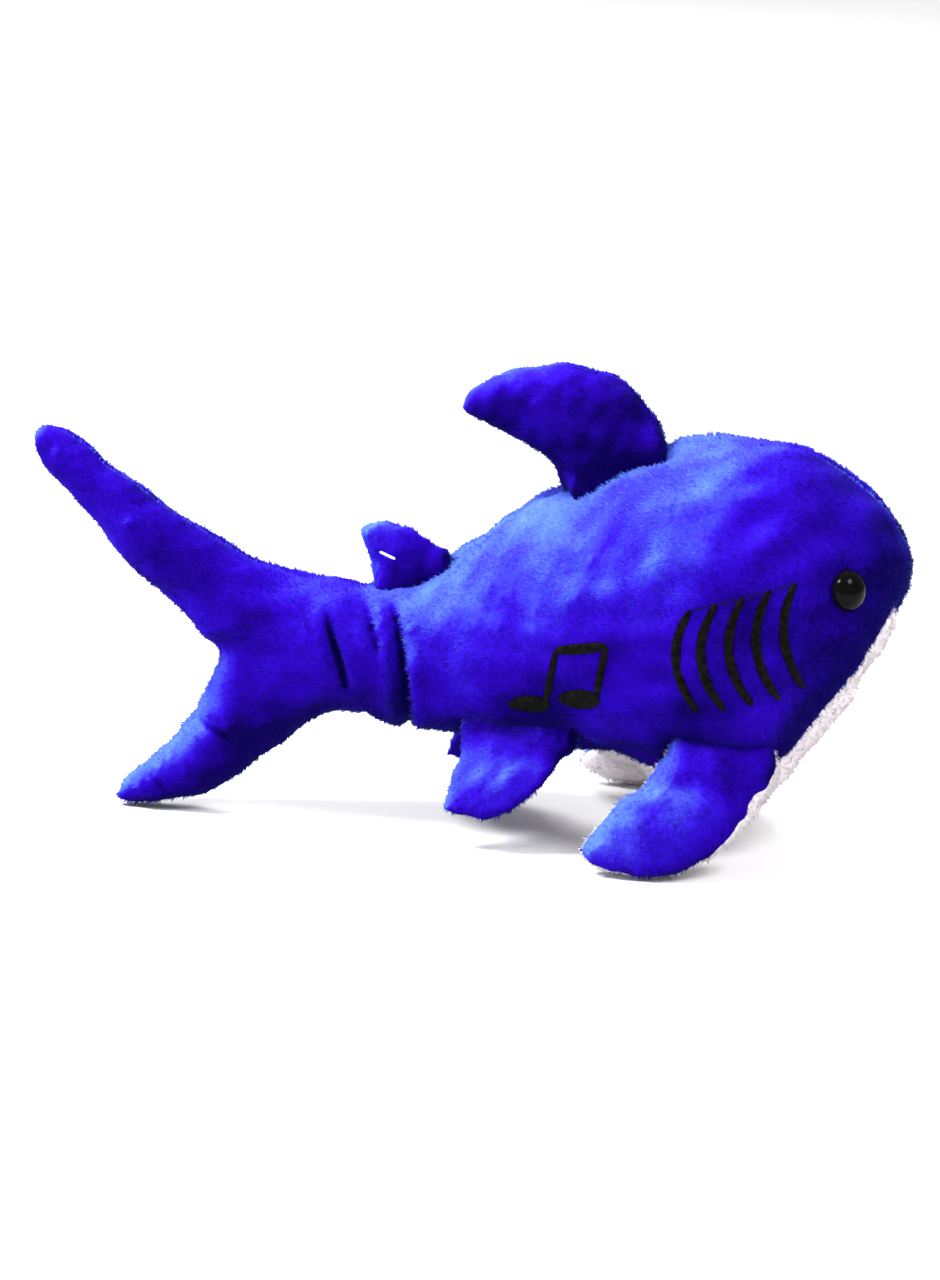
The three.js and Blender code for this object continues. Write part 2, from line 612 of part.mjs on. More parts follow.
// A raised oval of stitching about a point on the body's side.
function stitchOval([x, z], [long, short], tilt, sign, sides) {
  const turn = THREE.MathUtils.degToRad(tilt);
  const spots = [[x, z]];
  for (let i = 0; i < sides; i++) {
    const angle = (2 * Math.PI * i) / sides;
    const [u, v] = [long * Math.cos(angle), short * Math.sin(angle)];
    spots.push([x + u * Math.cos(turn) - v * Math.sin(turn), z + u * Math.sin(turn) + v * Math.cos(turn)]);
  }
  const lifts = [STITCH_LIFT, STITCH_LIFT + STITCH_HEIGHT];
  const positions = lifts.flatMap((lift) =>
    spots.flatMap(([px, pz]) => {
      const { point, normal } = onSide(px, pz, sign);
      return point.addScaledVector(normal, lift).toArray();
    }),
  );
  const count = spots.length;
  const corners = [];
  for (let i = 1; i <= sides; i++) {
    const next = (i % sides) + 1;
    corners.push(0, i, next, count, count + next, count + i);
    addQuad(corners, i, count + i, count + next, next);
  }
  return facingOut(positions, corners);
}

for (const [side, sign] of SIDES)
  GILLS.forEach((line, i) => {
    const gill = stitchBand(line, STITCH_WIDTH, sign, 8);
    add(`gill_${side}_${i + 1}`, gill, BLACK_THREAD);
  });

const withMiddle = ([[x0, z0], [x1, z1]]) => [[x0, z0], [(x0 + x1) / 2, (z0 + z1) / 2], [x1, z1]];
const beam = [NOTE.stems[0][1], NOTE.stems[1][1]];
const noteParts = [
  ...NOTE.heads.map((head) => stitchOval(head, NOTE.headSize, NOTE.headTilt, -1, 14)),
  ...NOTE.stems.map((stem) => stitchBand(withMiddle(stem), NOTE.width, -1, 5)),
  stitchBand(withMiddle(beam), NOTE.beamWidth, -1, 5),
];
add("note_embroidery", noteParts.reduce((all, part) => all.add(part)), BLACK_THREAD);

// ---- Nylon tag fasteners ------------------------------------------------------------------------------
// A round wire of so many sides along a curve.
function wire(curve, wireRadius, sides, steps) {
  const circle = new THREE.EllipseCurve(0, 0, wireRadius, wireRadius).getPoints(sides).slice(0, sides);
  return solidOf(new THREE.ExtrudeGeometry(new THREE.Shape(circle), { steps, extrudePath: curve }));
}

add("tag_bar", rod([-33.4, -6.4, 83.9], [-28.8, -6.4, 82.5], TAG_BAR_RADIUS, 0, 8), WHITE_NYLON);
const loopPoints = [[61.6, 0, 123.7], [61.7, 0, 125.2], [62.9, 0, 126], [64.1, 0, 125.4], [64.2, 0, 124]];
const loopLine = new THREE.CatmullRomCurve3(loopPoints.map((point) => new THREE.Vector3(...point)));
add("tag_loop", wire(loopLine, TAG_LOOP_RADIUS, 8, 10), WHITE_NYLON);

// ---- Sound module -------------------------------------------------------------------------------------
shark.add(module);
const { radius, wall, depth, split, frontThickness, coverThickness, fit, buttonHole, buttonRise } = MODULE;
const inner = radius - wall;
const screwSpots = SCREW.angles.map((angle) => {
  const turn = THREE.MathUtils.degToRad(angle);
  return [SCREW.circle * Math.cos(turn), SCREW.circle * Math.sin(turn)];
});
const screwHoles = (holeRadius, from, to) =>
  screwSpots.map(([x, z]) => rod([x, from, z], [x, to, z], holeRadius, 0, 10));

const frontCase = ringOf([
  [buttonHole, 0], [radius, 0], [radius, split], [inner, split], [inner, frontThickness],
  [buttonHole, frontThickness],
]);
const pilotHoles = screwHoles(SCREW.pilot, split - SCREW.grip - 1, split + 1);
add("sound_case_front", subtractAll(frontCase, pilotHoles), CASE_PLASTIC, module);
const backCase = washer(inner, radius, split + SEAM_GAP, depth);
const clearHoles = screwHoles(SCREW.clearance, 0, depth + 1);
add("sound_case_back", subtractAll(backCase, clearHoles), CASE_PLASTIC, module);
add("battery_cover", disc(inner - fit, depth - coverThickness, depth), CASE_PLASTIC, module);
const buttonProfile = [
  [0, -buttonRise], [4, -2.9], [6.2, -1.6], [6.8, 0], [6.8, 1.8], [9.4, 1.8], [9.4, 2.8], [0, 2.8],
];
add("sound_button", turned(buttonProfile), BUTTON_PLASTIC, module);

class Helix extends THREE.Curve {
  constructor({ coil, from, to, turns }) {
    super();
    Object.assign(this, { coil, from, to, turns });
  }
  getPoint(t, target = new THREE.Vector3()) {
    const angle = 2 * Math.PI * this.turns * t;
    const y = THREE.MathUtils.lerp(this.from, this.to, t);
    return target.set(this.coil * Math.cos(angle), y, this.coil * Math.sin(angle));
  }
}
add("button_spring", wire(new Helix(BUTTON_SPRING), BUTTON_SPRING.wire, 6, 24), STEEL, module);
const { half } = SWITCH;
add("contact_switch", block([-half, SWITCH.from, -half], [half, SWITCH.to, half]), BUTTON_PLASTIC, module);
add("circuit_board", disc(inner - fit, BOARD.from, BOARD.to), BOARD_LACQUER, module);
const framePoints = [[12, 9.2], [13.1, 9.2], [13.1, 11], [7, 13.6], [6.6, 13.6], [6.6, 12.6], [12, 10.6]];
add("speaker_frame", ringOf(framePoints), STEEL, module);
const conePoints = [[0, 11], [3, 11], [11.6, 9.3], [11.6, 9.8], [3, 12], [0, 12]];
add("speaker_cone", turned(conePoints), SPEAKER_PAPER, module);
add("speaker_magnet", disc(MAGNET.radius, MAGNET.from, MAGNET.to, 20), STEEL, module);
for (let i = 0; i < CELL.count; i++) {
  const turn = (2 * Math.PI * i) / CELL.count + Math.PI / 6;
  const cell = disc(CELL.radius, CELL.from, CELL.from + CELL.height, 20);
  const place = [CELL.circle * Math.cos(turn), 0, CELL.circle * Math.sin(turn)];
  add(`button_cell_${i + 1}`, cell.translate(place), STEEL, module);
}
screwSpots.forEach(([x, z], i) => {
  const seat = depth + SEAM_GAP;
  const shank = rod([x, split - SCREW.grip, z], [x, seat, z], SCREW.shank, 0, 10);
  const head = rod([x, seat, z], [x, seat + 1, z], SCREW.head, 0, 12);
  add(`case_screw_${i + 1}`, shank.add(head), STEEL, module);
});

export default shark;
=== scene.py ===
import json
import math

import bpy
import numpy as np
from mathutils import Matrix, Vector
from mathutils.bvhtree import BVHTree
from mathutils.kdtree import KDTree

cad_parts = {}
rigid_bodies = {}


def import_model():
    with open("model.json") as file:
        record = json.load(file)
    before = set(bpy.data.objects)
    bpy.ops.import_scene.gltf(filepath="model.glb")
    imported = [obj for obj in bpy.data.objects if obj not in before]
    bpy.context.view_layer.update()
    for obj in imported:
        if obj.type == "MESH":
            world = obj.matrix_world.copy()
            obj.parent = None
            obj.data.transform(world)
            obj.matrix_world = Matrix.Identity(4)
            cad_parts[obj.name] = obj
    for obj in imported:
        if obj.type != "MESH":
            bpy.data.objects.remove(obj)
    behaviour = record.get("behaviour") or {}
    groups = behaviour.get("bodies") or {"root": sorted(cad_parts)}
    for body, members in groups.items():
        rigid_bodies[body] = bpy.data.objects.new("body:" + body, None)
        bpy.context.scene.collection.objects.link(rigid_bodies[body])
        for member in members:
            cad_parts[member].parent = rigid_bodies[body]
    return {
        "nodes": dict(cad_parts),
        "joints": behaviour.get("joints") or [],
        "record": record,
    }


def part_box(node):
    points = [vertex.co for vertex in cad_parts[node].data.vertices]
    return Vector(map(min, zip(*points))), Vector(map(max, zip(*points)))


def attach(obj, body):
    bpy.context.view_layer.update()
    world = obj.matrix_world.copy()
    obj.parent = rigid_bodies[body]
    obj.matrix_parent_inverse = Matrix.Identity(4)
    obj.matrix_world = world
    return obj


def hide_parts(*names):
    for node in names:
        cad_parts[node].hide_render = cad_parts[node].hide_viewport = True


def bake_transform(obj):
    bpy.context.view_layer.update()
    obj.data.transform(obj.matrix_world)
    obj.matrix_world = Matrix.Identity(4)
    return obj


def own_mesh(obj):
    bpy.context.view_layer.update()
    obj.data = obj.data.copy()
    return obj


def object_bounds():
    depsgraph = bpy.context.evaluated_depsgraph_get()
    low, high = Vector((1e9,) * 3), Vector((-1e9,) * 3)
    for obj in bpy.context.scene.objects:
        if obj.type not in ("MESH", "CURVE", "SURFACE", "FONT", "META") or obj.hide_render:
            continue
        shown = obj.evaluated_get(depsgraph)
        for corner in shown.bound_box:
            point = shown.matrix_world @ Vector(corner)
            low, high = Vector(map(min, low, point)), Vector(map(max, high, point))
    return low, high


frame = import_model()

# The looks of the plush shark, in metres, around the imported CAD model. The visible plush is grown from the
# CAD skins: closed up by a voxel remesh, swelled by cloth pressure, creased, cut into its sewn panels and
# covered in pile.

MM = 0.001
CAD_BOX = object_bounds()
JOINTS = {joint["name"]: joint for joint in frame["joints"]}
SIDES = (("right", -1), ("left", 1))

BACKING = 1.3 * MM  # thickness of the knit that the pile stands on
FIN_BACKING = 0.9 * MM  # and of a fin's knit
PILE_LENGTH = 1.2 * MM
PILE_ROOM = 0.5 * MM  # how far the knit lies inside the CAD skin, to leave room for the pile
TUFT_DENSITY = 1.6 / MM**2
TUFT_WIDTH = 0.44 * MM
TUFT_ROOT = 0.35 * MM  # how far a tuft starts under the knit's surface
NAP = Vector((-1, 0, -0.25)).normalized()  # the pile is brushed towards the tail
NAP_ROW = 1.5 * MM  # spacing of the rows that the pile stands in
PAINTED_LIGHT_SLOPE = np.array((-0.75, -0.1, 0.65))  # painted light: slopes that face this way, towards the key lamp, get lighter pile


# ---- Camera, floor and light ----


CAMERA_RISE = 15  # degrees above the horizon
CAMERA_ROLL = 3
CAMERA_DISTANCE = 2.2
PICTURE_HEIGHT = 384 * MM  # of the scene that the picture takes in at the toy
AIM_OFFSET = Vector((0.9, 0, -15.0)) * MM  # what the camera looks at, from the middle of the toy


def make_camera():
    """Looks along +Y from above with a long lens."""
    aim = (Vector(CAD_BOX[0]) + Vector(CAD_BOX[1])) / 2 + AIM_OFFSET
    camera = bpy.data.cameras.new("camera")
    camera.lens = camera.sensor_width * CAMERA_DISTANCE / PICTURE_HEIGHT
    camera.clip_end = 20
    holder = bpy.data.objects.new("camera", camera)
    tilt = Matrix.Rotation(math.radians(90 - CAMERA_RISE), 4, "X")
    roll = Matrix.Rotation(math.radians(CAMERA_ROLL), 4, "Z")
    holder.matrix_world = Matrix.Translation(aim) @ tilt @ roll @ Matrix.Translation((0, 0, CAMERA_DISTANCE))
    bpy.context.scene.collection.objects.link(holder)
    bpy.context.scene.camera = holder


def area_light(name, place, target, size, power):
    """A soft square light of the given size in metres and power in watts."""
    light = bpy.data.lights.new(name, "AREA")
    light.size = size
    light.energy = power
    holder = bpy.data.objects.new(name, light)
    holder.location = place
    holder.rotation_euler = (Vector(target) - Vector(place)).to_track_quat("-Z", "Y").to_euler()
    bpy.context.scene.collection.objects.link(holder)


def make_studio():
    """A white room with three soft lights and a pale floor."""
    world = bpy.data.worlds.new("studio")
    bpy.context.scene.world = world
    world.use_nodes = True
    world.node_tree.nodes["Background"].inputs["Color"].default_value = (1, 1, 1, 1)
    world.node_tree.nodes["Background"].inputs["Strength"].default_value = 0.46
    bpy.context.scene.view_settings.view_transform = "Standard"
    area_light("key", (-0.85, -0.2, 1.15), (0, 0, 0.06), 0.4, 33)
    area_light("top", (0.75, -0.5, 1.15), (0.03, 0, 0.07), 0.5, 17)
    area_light("rim", (-0.2, 0.9, 0.9), (0, 0, 0.08), 0.5, 16)
    bpy.ops.mesh.primitive_plane_add(size=8)
    floor = bpy.context.object
    floor.name = "floor"
    card = mottled("floor_card", (0.86, 0.86, 0.86), (0.9, 0.9, 0.9), 3, 200, 0.05 * MM, 0.8)
    floor.data.materials.append(card)


# ---- Materials ----


def plain(name, colour, roughness, **sockets):
    """A material of one colour. sockets are the shader's other inputs, with _ for each space."""
    material = bpy.data.materials.new(name)
    material.use_nodes = True
    shader = material.node_tree.nodes["Principled BSDF"]
    shader.inputs["Base Color"].default_value = (*colour, 1)
    shader.inputs["Roughness"].default_value = roughness
    for socket, value in sockets.items():
        shader.inputs[socket.replace("_", " ")].default_value = value
    return material


def noise_node(material, scale, detail, stretch=(1, 1, 1)):
    tree = material.node_tree
    place = tree.nodes.new("ShaderNodeTexCoord")
    mapping = tree.nodes.new("ShaderNodeMapping")
    mapping.inputs["Scale"].default_value = stretch
    noise = tree.nodes.new("ShaderNodeTexNoise")
    noise.inputs["Scale"].default_value = scale
    noise.inputs["Detail"].default_value = detail
    tree.links.new(place.outputs["Object"], mapping.inputs["Vector"])
    tree.links.new(mapping.outputs["Vector"], noise.inputs["Vector"])
    return noise


def noise_into_colour(material, scale, dark, light, detail=6):
    """Drives the base colour by noise between two colours."""
    tree = material.node_tree
    colours = tree.nodes.new("ShaderNodeValToRGB")
    for element, position, colour in zip(colours.color_ramp.elements, (0.35, 0.65), (dark, light)):
        element.position = position
        element.color = (*colour, 1)
    tree.links.new(noise_node(material, scale, detail).outputs["Fac"], colours.inputs["Fac"])
    tree.links.new(colours.outputs["Color"], tree.nodes["Principled BSDF"].inputs["Base Color"])


def noise_into_bump(material, scale, distance, detail=4, stretch=(1, 1, 1)):
    """Roughens the surface by noise, at most distance high."""
    tree = material.node_tree
    bump = tree.nodes.new("ShaderNodeBump")
    bump.inputs["Distance"].default_value = distance
    bump.inputs["Strength"].default_value = 1
    tree.links.new(noise_node(material, scale, detail, stretch).outputs["Fac"], bump.inputs["Height"])
    tree.links.new(bump.outputs["Normal"], tree.nodes["Principled BSDF"].inputs["Normal"])


def mottled(name, dark, light, scale, bump_scale, bump, roughness, stretch=(1, 1, 1), **sockets):
    """A material with noise in its colour and its surface, bump high."""
    material = plain(name, light, roughness, **sockets)
    noise_into_colour(material, scale, dark, light)
    noise_into_bump(material, bump_scale, bump, stretch=stretch)
    return material


def plush_material(name, tones, sheen):
    """The knit between the roots of the pile, coloured by the piece's own tone, darkened by a painted shade
    among the roots, with a fine mottle.
    """
    material = plain(
        name, tones[1][1], 0.95,
        Sheen_Weight=0.05, Sheen_Roughness=0.4, Sheen_Tint=(*sheen, 1), Specular_IOR_Level=0.02,
    )
    tree = material.node_tree
    tone = tree.nodes.new("ShaderNodeAttribute")
    tone.attribute_name = "tone"
    mottle = tree.nodes.new("ShaderNodeMath")
    mottle.operation = "MULTIPLY_ADD"
    mottle.inputs[1].default_value = 0.25
    # Painted shade among the pile's roots: the knit's tone is set 0.17 lower than the pile's.
    total = tree.nodes.new("ShaderNodeMath")
    total.inputs[1].default_value = -0.17
    colours = tree.nodes.new("ShaderNodeValToRGB")
    elements = colours.color_ramp.elements
    for place, _ in tones[1:-1]:
        elements.new(place)
    for element, (_, colour) in zip(elements, tones):
        element.color = (*colour, 1)
    tree.links.new(noise_node(material, 700, 3).outputs["Fac"], mottle.inputs[0])
    tree.links.new(tone.outputs["Fac"], mottle.inputs[2])
    tree.links.new(mottle.outputs["Value"], total.inputs[0])
    tree.links.new(total.outputs["Value"], colours.inputs["Fac"])
    tree.links.new(colours.outputs["Color"], tree.nodes["Principled BSDF"].inputs["Base Color"])
    noise_into_bump(material, 900, 0.6 * MM, stretch=(1, 1, 1.6))
    return material


def pile_materials(name, tones, sheen, weight, count=10):
    """One material for each shade of fibre, from the darkest and dullest to the lightest and glossiest."""
    places, colours = zip(*tones)
    materials = []
    for number in range(count):
        share = (number + 0.5) / count
        shade = [float(np.interp(share, places, column)) for column in zip(*colours)]
        glossy = dict(Sheen_Weight=weight * (0.4 + 0.6 * share), Sheen_Roughness=0.25, Sheen_Tint=(*sheen, 1))
        materials.append(plain(f"{name}_{number + 1}", shade, 0.75, Specular_IOR_Level=0.03, **glossy))
    return materials


# Colours of the plush from its darkest tone, 0, to its lightest, 1. The lightest, azure end is reached where
# painted light falls and the darkest where painted shade does; the tone between also varies in random
# patches.
BLUE_SHEEN = (0.15, 0.36, 1.0)
BLUE_TONES = [
    (0, (0.003, 0, 0.07)),
    (0.4, (0.02, 0.001, 0.38)),
    (0.6, (0.028, 0.006, 0.5)),
    (0.8, (0.045, 0.05, 0.57)),
    (1, (0.09, 0.18, 0.72)),
]
BLUE = plush_material("blue_plush", BLUE_TONES, BLUE_SHEEN)
BLUE_PILE = pile_materials("blue_pile", BLUE_TONES, BLUE_SHEEN, 1)
WHITE_TONES = [(0, (0.66, 0.6, 0.64)), (1, (0.92, 0.89, 0.9))]
WHITE = plush_material("white_plush", WHITE_TONES, (1, 1, 1))
WHITE_PILE = pile_materials("white_pile", WHITE_TONES, (1, 1, 1), 0.3, 4)
THREAD = mottled(
    "black_thread", (0.001, 0.001, 0.001), (0.006, 0.006, 0.005), 500, 1600, 0.1 * MM, 0.42, (1, 1, 1),
    Specular_IOR_Level=0.03,
)
EYE_GLOSS = mottled(
    "eye_plastic", (0.001, 0.001, 0.001), (0.003, 0.003, 0.003), 90, 60, 0.005 * MM, 0.05, (1, 1, 1),
    Specular_IOR_Level=0.05,
)
NYLON = mottled("white_nylon", (0.84, 0.84, 0.84), (0.93, 0.93, 0.93), 400, 900, 0.02 * MM, 0.35)
STEEL = mottled(
    "steel", (0.42, 0.42, 0.44), (0.58, 0.58, 0.6), 250, 900, 0.02 * MM, 0.32, (1, 1, 14),
    Metallic=1,
)
FIBREFILL = mottled(
    "fibrefill", (0.78, 0.78, 0.75), (0.94, 0.94, 0.92), 130, 600, 0.9 * MM, 0.95, (1, 1, 2.5),
)


def slot_materials():
    """The finish of each CAD node that stays as it is, by its material slot."""
    rows = [
        ("case_plastic", (0.72, 0.72, 0.69), (0.79, 0.79, 0.76), 60, 2200, 0.03 * MM, 0.45),
        ("button_plastic", (0.5, 0.02, 0.02), (0.58, 0.035, 0.03), 70, 1800, 0.03 * MM, 0.4),
        ("circuit_board", (0.012, 0.1, 0.035), (0.025, 0.17, 0.06), 350, 900, 0.05 * MM, 0.35),
        ("speaker_paper", (0.012, 0.012, 0.013), (0.03, 0.03, 0.032), 500, 900, 0.08 * MM, 0.9),
    ]
    return {"white_nylon": NYLON, "steel": STEEL} | {row[0]: mottled(*row) for row in rows}


def finish_cad_nodes():
    """Gives every CAD node that still shows the finish of its slot."""
    finishes = slot_materials()
    for row in frame["record"]["subparts"]:
        node = frame["nodes"][row["node"]]
        if not node.hide_render:
            node.data.materials.clear()
            node.data.materials.append(finishes[row["material_slot"]])


# ---- Meshes as arrays ----


def unit(vectors):
    """The vectors scaled to a length of 1."""
    return vectors / np.maximum(np.linalg.norm(vectors, axis=-1, keepdims=True), 1e-12)


class Surface:
    """A mesh as numpy arrays: points, and faces as rows of point numbers, all triangles or all quads."""

    def __init__(self, points, faces):
        self.points = np.asarray(points, float).reshape(-1, 3)
        self.faces = np.asarray(faces, int)

    @classmethod
    def of(cls, mesh):
        """A Blender mesh as quads if it has nothing else, or cut into triangles."""
        points = np.empty(len(mesh.vertices) * 3)
        mesh.vertices.foreach_get("co", points)
        corners = np.empty(len(mesh.loops), int)
        mesh.loops.foreach_get("vertex_index", corners)
        if all(len(polygon.vertices) == 4 for polygon in mesh.polygons):
            return cls(points, corners.reshape(-1, 4))
        mesh.calc_loop_triangles()
        triangles = np.empty(len(mesh.loop_triangles) * 3, int)
        mesh.loop_triangles.foreach_get("vertices", triangles)
        return cls(points, triangles.reshape(-1, 3))

    def triangles(self):
        if self.faces.shape[1] == 3:
            return self
        return Surface(self.points, np.concatenate([self.faces[:, [0, 1, 2]], self.faces[:, [0, 2, 3]]]))

    def sides(self):
        """Every face's sides as pairs of point numbers, in the face's direction."""
        size = self.faces.shape[1]
        return np.concatenate([self.faces[:, [i, (i + 1) % size]] for i in range(size)])

    def edges(self):
        return np.unique(np.sort(self.sides(), axis=1), axis=0)

    def normals(self):
        p, f = self.points, self.faces
        if f.shape[1] == 4:
            facing = np.cross(p[f[:, 2]] - p[f[:, 0]], p[f[:, 3]] - p[f[:, 1]])
        else:
            facing = np.cross(p[f[:, 1]] - p[f[:, 0]], p[f[:, 2]] - p[f[:, 0]])
        total = np.zeros_like(p)
        for column in range(f.shape[1]):
            for axis in range(3):
                total[:, axis] += np.bincount(f[:, column], facing[:, axis], len(p))
        return unit(total)

    def moved(self, distance):
        """The surface moved along its normals by one distance or one per point."""
        distance = np.broadcast_to(np.asarray(distance, float).reshape(-1, 1), (len(self.points), 1))
        return Surface(self.points + self.normals() * distance, self.faces)

    def relaxed(self, rounds, share=0.5):
        """Laplacian smoothing. share is one number or one per point."""
        edges = self.edges()
        a, b = edges.T
        size = len(self.points)
        count = np.maximum(np.bincount(edges.ravel(), minlength=size), 1)[:, None]
        share = np.broadcast_to(np.asarray(share, float).reshape(-1, 1), (size, 1))
        points = self.points.copy()
        for _ in range(rounds):
            total = np.zeros_like(points)
            for axis in range(3):
                total[:, axis] += np.bincount(a, points[b, axis], size)
                total[:, axis] += np.bincount(b, points[a, axis], size)
            points += share * (total / count - points)
        return Surface(points, self.faces)

    def smooth_values(self, values, rounds):
        """Spreads values along the surface."""
        a, b = self.edges().T
        count = np.maximum(np.bincount(np.concatenate([a, b]), minlength=len(values)), 1)
        for _ in range(rounds):
            spread = np.bincount(a, values[b], len(values)) + np.bincount(b, values[a], len(values))
            values = 0.5 * values + 0.5 * spread / count
        return values

    def largest_part(self):
        """Only the biggest connected part."""
        label = np.arange(len(self.points))
        a, b = self.edges().T
        while True:
            low = np.minimum(label[a], label[b])
            new = label.copy()
            np.minimum.at(new, a, low)
            np.minimum.at(new, b, low)
            new = new[new]
            if (new == label).all():
                break
            label = new
        names, sizes = np.unique(label[self.faces[:, 0]], return_counts=True)
        return self.part(label[self.faces[:, 0]] == names[sizes.argmax()])

    def part(self, keep):
        """The faces marked in keep, with the points they use."""
        faces = self.faces[keep]
        used, renumbered = np.unique(faces, return_inverse=True)
        return Surface(self.points[used], renumbered.reshape(faces.shape))

    def cut(self, values):
        """Cuts the triangles where values is zero. Returns the part above zero and the part below it."""
        values = np.where(np.abs(values) < 1e-9, 1e-9, values)
        points = list(self.points)
        made = {}

        def crossing(i, j):
            key = (min(i, j), max(i, j))
            if key not in made:
                share = values[i] / (values[i] - values[j])
                made[key] = len(points)
                points.append(self.points[i] * (1 - share) + self.points[j] * share)
            return made[key]

        positive = values > 0
        inside = positive[self.faces].sum(axis=1)
        cut_faces = {True: [], False: []}
        for triangle in self.faces[(inside == 1) | (inside == 2)]:
            lone = bool(positive[triangle].sum() == 1)
            first = next(k for k in range(3) if positive[triangle[k]] == lone)
            i, j, k = (int(triangle[(first + step) % 3]) for step in range(3))
            ij = crossing(i, j)
            ik = crossing(i, k)
            cut_faces[lone].append((i, ij, ik))
            cut_faces[not lone].extend([(ij, j, k), (ij, k, ik)])
        result = []
        for above, whole in ((True, 3), (False, 0)):
            crossed = np.array(cut_faces[above], int).reshape(-1, 3)
            faces = np.concatenate([self.faces[inside == whole], crossed])
            result.append(Surface(points, faces).part(np.ones(len(faces), bool)))
        return result

    def thickened(self, thickness):
        """A closed solid: the sheet, its back set in by thickness, and a rim round its open edges."""
        count = len(self.points)
        back = self.moved(-thickness).points
        pairs = self.sides()
        _, first, uses = np.unique(np.sort(pairs, axis=1), axis=0, return_index=True, return_counts=True)
        rim = pairs[first[uses == 1]]
        walls = np.stack([rim[:, 1], rim[:, 0], rim[:, 0] + count, rim[:, 1] + count], axis=1)
        if self.faces.shape[1] == 3:
            walls = np.concatenate([walls[:, [0, 1, 2]], walls[:, [0, 2, 3]]])
        faces = np.concatenate([self.faces, self.faces[:, ::-1] + count, walls])
        return Surface(np.concatenate([self.points, back]), faces)

    def tree(self):
        return BVHTree.FromPolygons([Vector(p) for p in self.points], self.faces.tolist())

    def object(self, name, materials, shades=None, shading=None, tone=None):
        """A Blender object. shades has each face's material number, shading each point's normal, and tone
        each point's tone."""
        mesh = bpy.data.meshes.new(name)
        size = self.faces.shape[1]
        mesh.vertices.add(len(self.points))
        mesh.vertices.foreach_set("co", self.points.ravel())
        mesh.loops.add(self.faces.size)
        mesh.loops.foreach_set("vertex_index", self.faces.ravel().astype(np.int32))
        mesh.polygons.add(len(self.faces))
        mesh.polygons.foreach_set("loop_start", np.arange(0, self.faces.size, size, dtype=np.int32))
        for material in materials:
            mesh.materials.append(material)
        if shades is not None:
            mesh.polygons.foreach_set("material_index", shades.astype(np.int32))
        mesh.update(calc_edges=True)
        mesh.shade_smooth()
        if tone is not None:
            mesh.attributes.new("tone", "FLOAT", "POINT").data.foreach_set("value", tone)
        if shading is not None:
            mesh.normals_split_custom_set_from_vertices(shading)
        piece = bpy.data.objects.new(name, mesh)
        bpy.context.scene.collection.objects.link(piece)
        return piece


def closed_tube(rings):
    """A closed solid through rings of points, with a flat end at each side. The array's axes are the rings,
    the points round each and their coordinates."""
    count, around = rings.shape[:2]
    size = count * around
    points = np.concatenate([rings.reshape(-1, 3), rings[[0, -1]].mean(1)])
    i, j = (index.ravel() for index in np.meshgrid(np.arange(count - 1), np.arange(around), indexing="ij"))
    a, b = i * around + j, i * around + (j + 1) % around
    edge = np.arange(around)
    follow = (edge + 1) % around
    last = size - around
    faces = [
        np.stack([a, b, b + around], axis=1),
        np.stack([a, b + around, a + around], axis=1),
        np.stack([np.full(around, size), follow, edge], axis=1),
        np.stack([np.full(around, size + 1), last + edge, last + follow], axis=1),
    ]
    faces = np.concatenate(faces)
    p = points[faces]
    volume = np.einsum("ij,ij->i", p[:, 0], np.cross(p[:, 1], p[:, 2])).sum()
    return Surface(points, faces if volume > 0 else faces[:, ::-1])


def joined(surfaces):
    """Several surfaces as one."""
    points, faces, count = [], [], 0
    for surface in surfaces:
        points.append(surface.points)
        faces.append(surface.faces + count)
        count += len(surface.points)
    return Surface(np.concatenate(points), np.concatenate(faces))


def waves(points, wavelength, seed, count=14):
    """Smooth noise of about unit size, as a sum of sine waves in random directions."""
    rng = np.random.default_rng(seed)
    directions = unit(rng.normal(size=(count, 3))) * rng.uniform(0.7, 1.4, (count, 1))
    phases = rng.uniform(0, 2 * math.pi, count)
    total = np.sin(points @ directions.T * 2 * math.pi / wavelength + phases).sum(1)
    return total / math.sqrt(count / 2)


def bell(distance, width):
    """1 at no distance, and fading to nothing at about twice the width."""
    return np.exp(-((np.asarray(distance) / width) ** 2))


def ramp(values, low, high):
    """0 up to low, 1 from high, and smooth between."""
    t = np.clip((values - low) / (high - low), 0, 1)
    return t * t * (3 - 2 * t)


def distances(points, tree):
    """How far each point is from the surface in the tree."""
    return np.array([tree.find_nearest(Vector(p))[3] for p in points])


# ---- From CAD solids to fine surfaces ----


def node_surface(names):
    """The CAD nodes' meshes as one Surface of triangles."""
    return joined([Surface.of(frame["nodes"][name].data).triangles() for name in names])


def through_modifier(surface, kind, **settings):
    """The surface after one modifier."""
    piece = surface.object("scratch", [])
    modifier = piece.modifiers.new("step", kind)
    for key, value in settings.items():
        setattr(modifier, key, value)
    result = Surface.of(piece.evaluated_get(bpy.context.evaluated_depsgraph_get()).to_mesh())
    bpy.data.objects.remove(piece)
    return result


def welded(surface, grain=0.01 * MM):
    """The surface with its points merged where they lie within a grain."""
    points, numbers = np.unique(np.round(surface.points / grain), axis=0, return_inverse=True)
    faces = numbers.reshape(-1)[surface.faces]
    kept = (faces[:, 0] != faces[:, 1]) & (faces[:, 1] != faces[:, 2]) & (faces[:, 2] != faces[:, 0])
    return Surface(points * grain, faces[kept])


def closed_up(names, voxel):
    """The outside of several CAD nodes together, as one closed surface of quads."""
    solid = welded(node_surface(names))
    return through_modifier(solid, "REMESH", mode="VOXEL", voxel_size=voxel).largest_part()


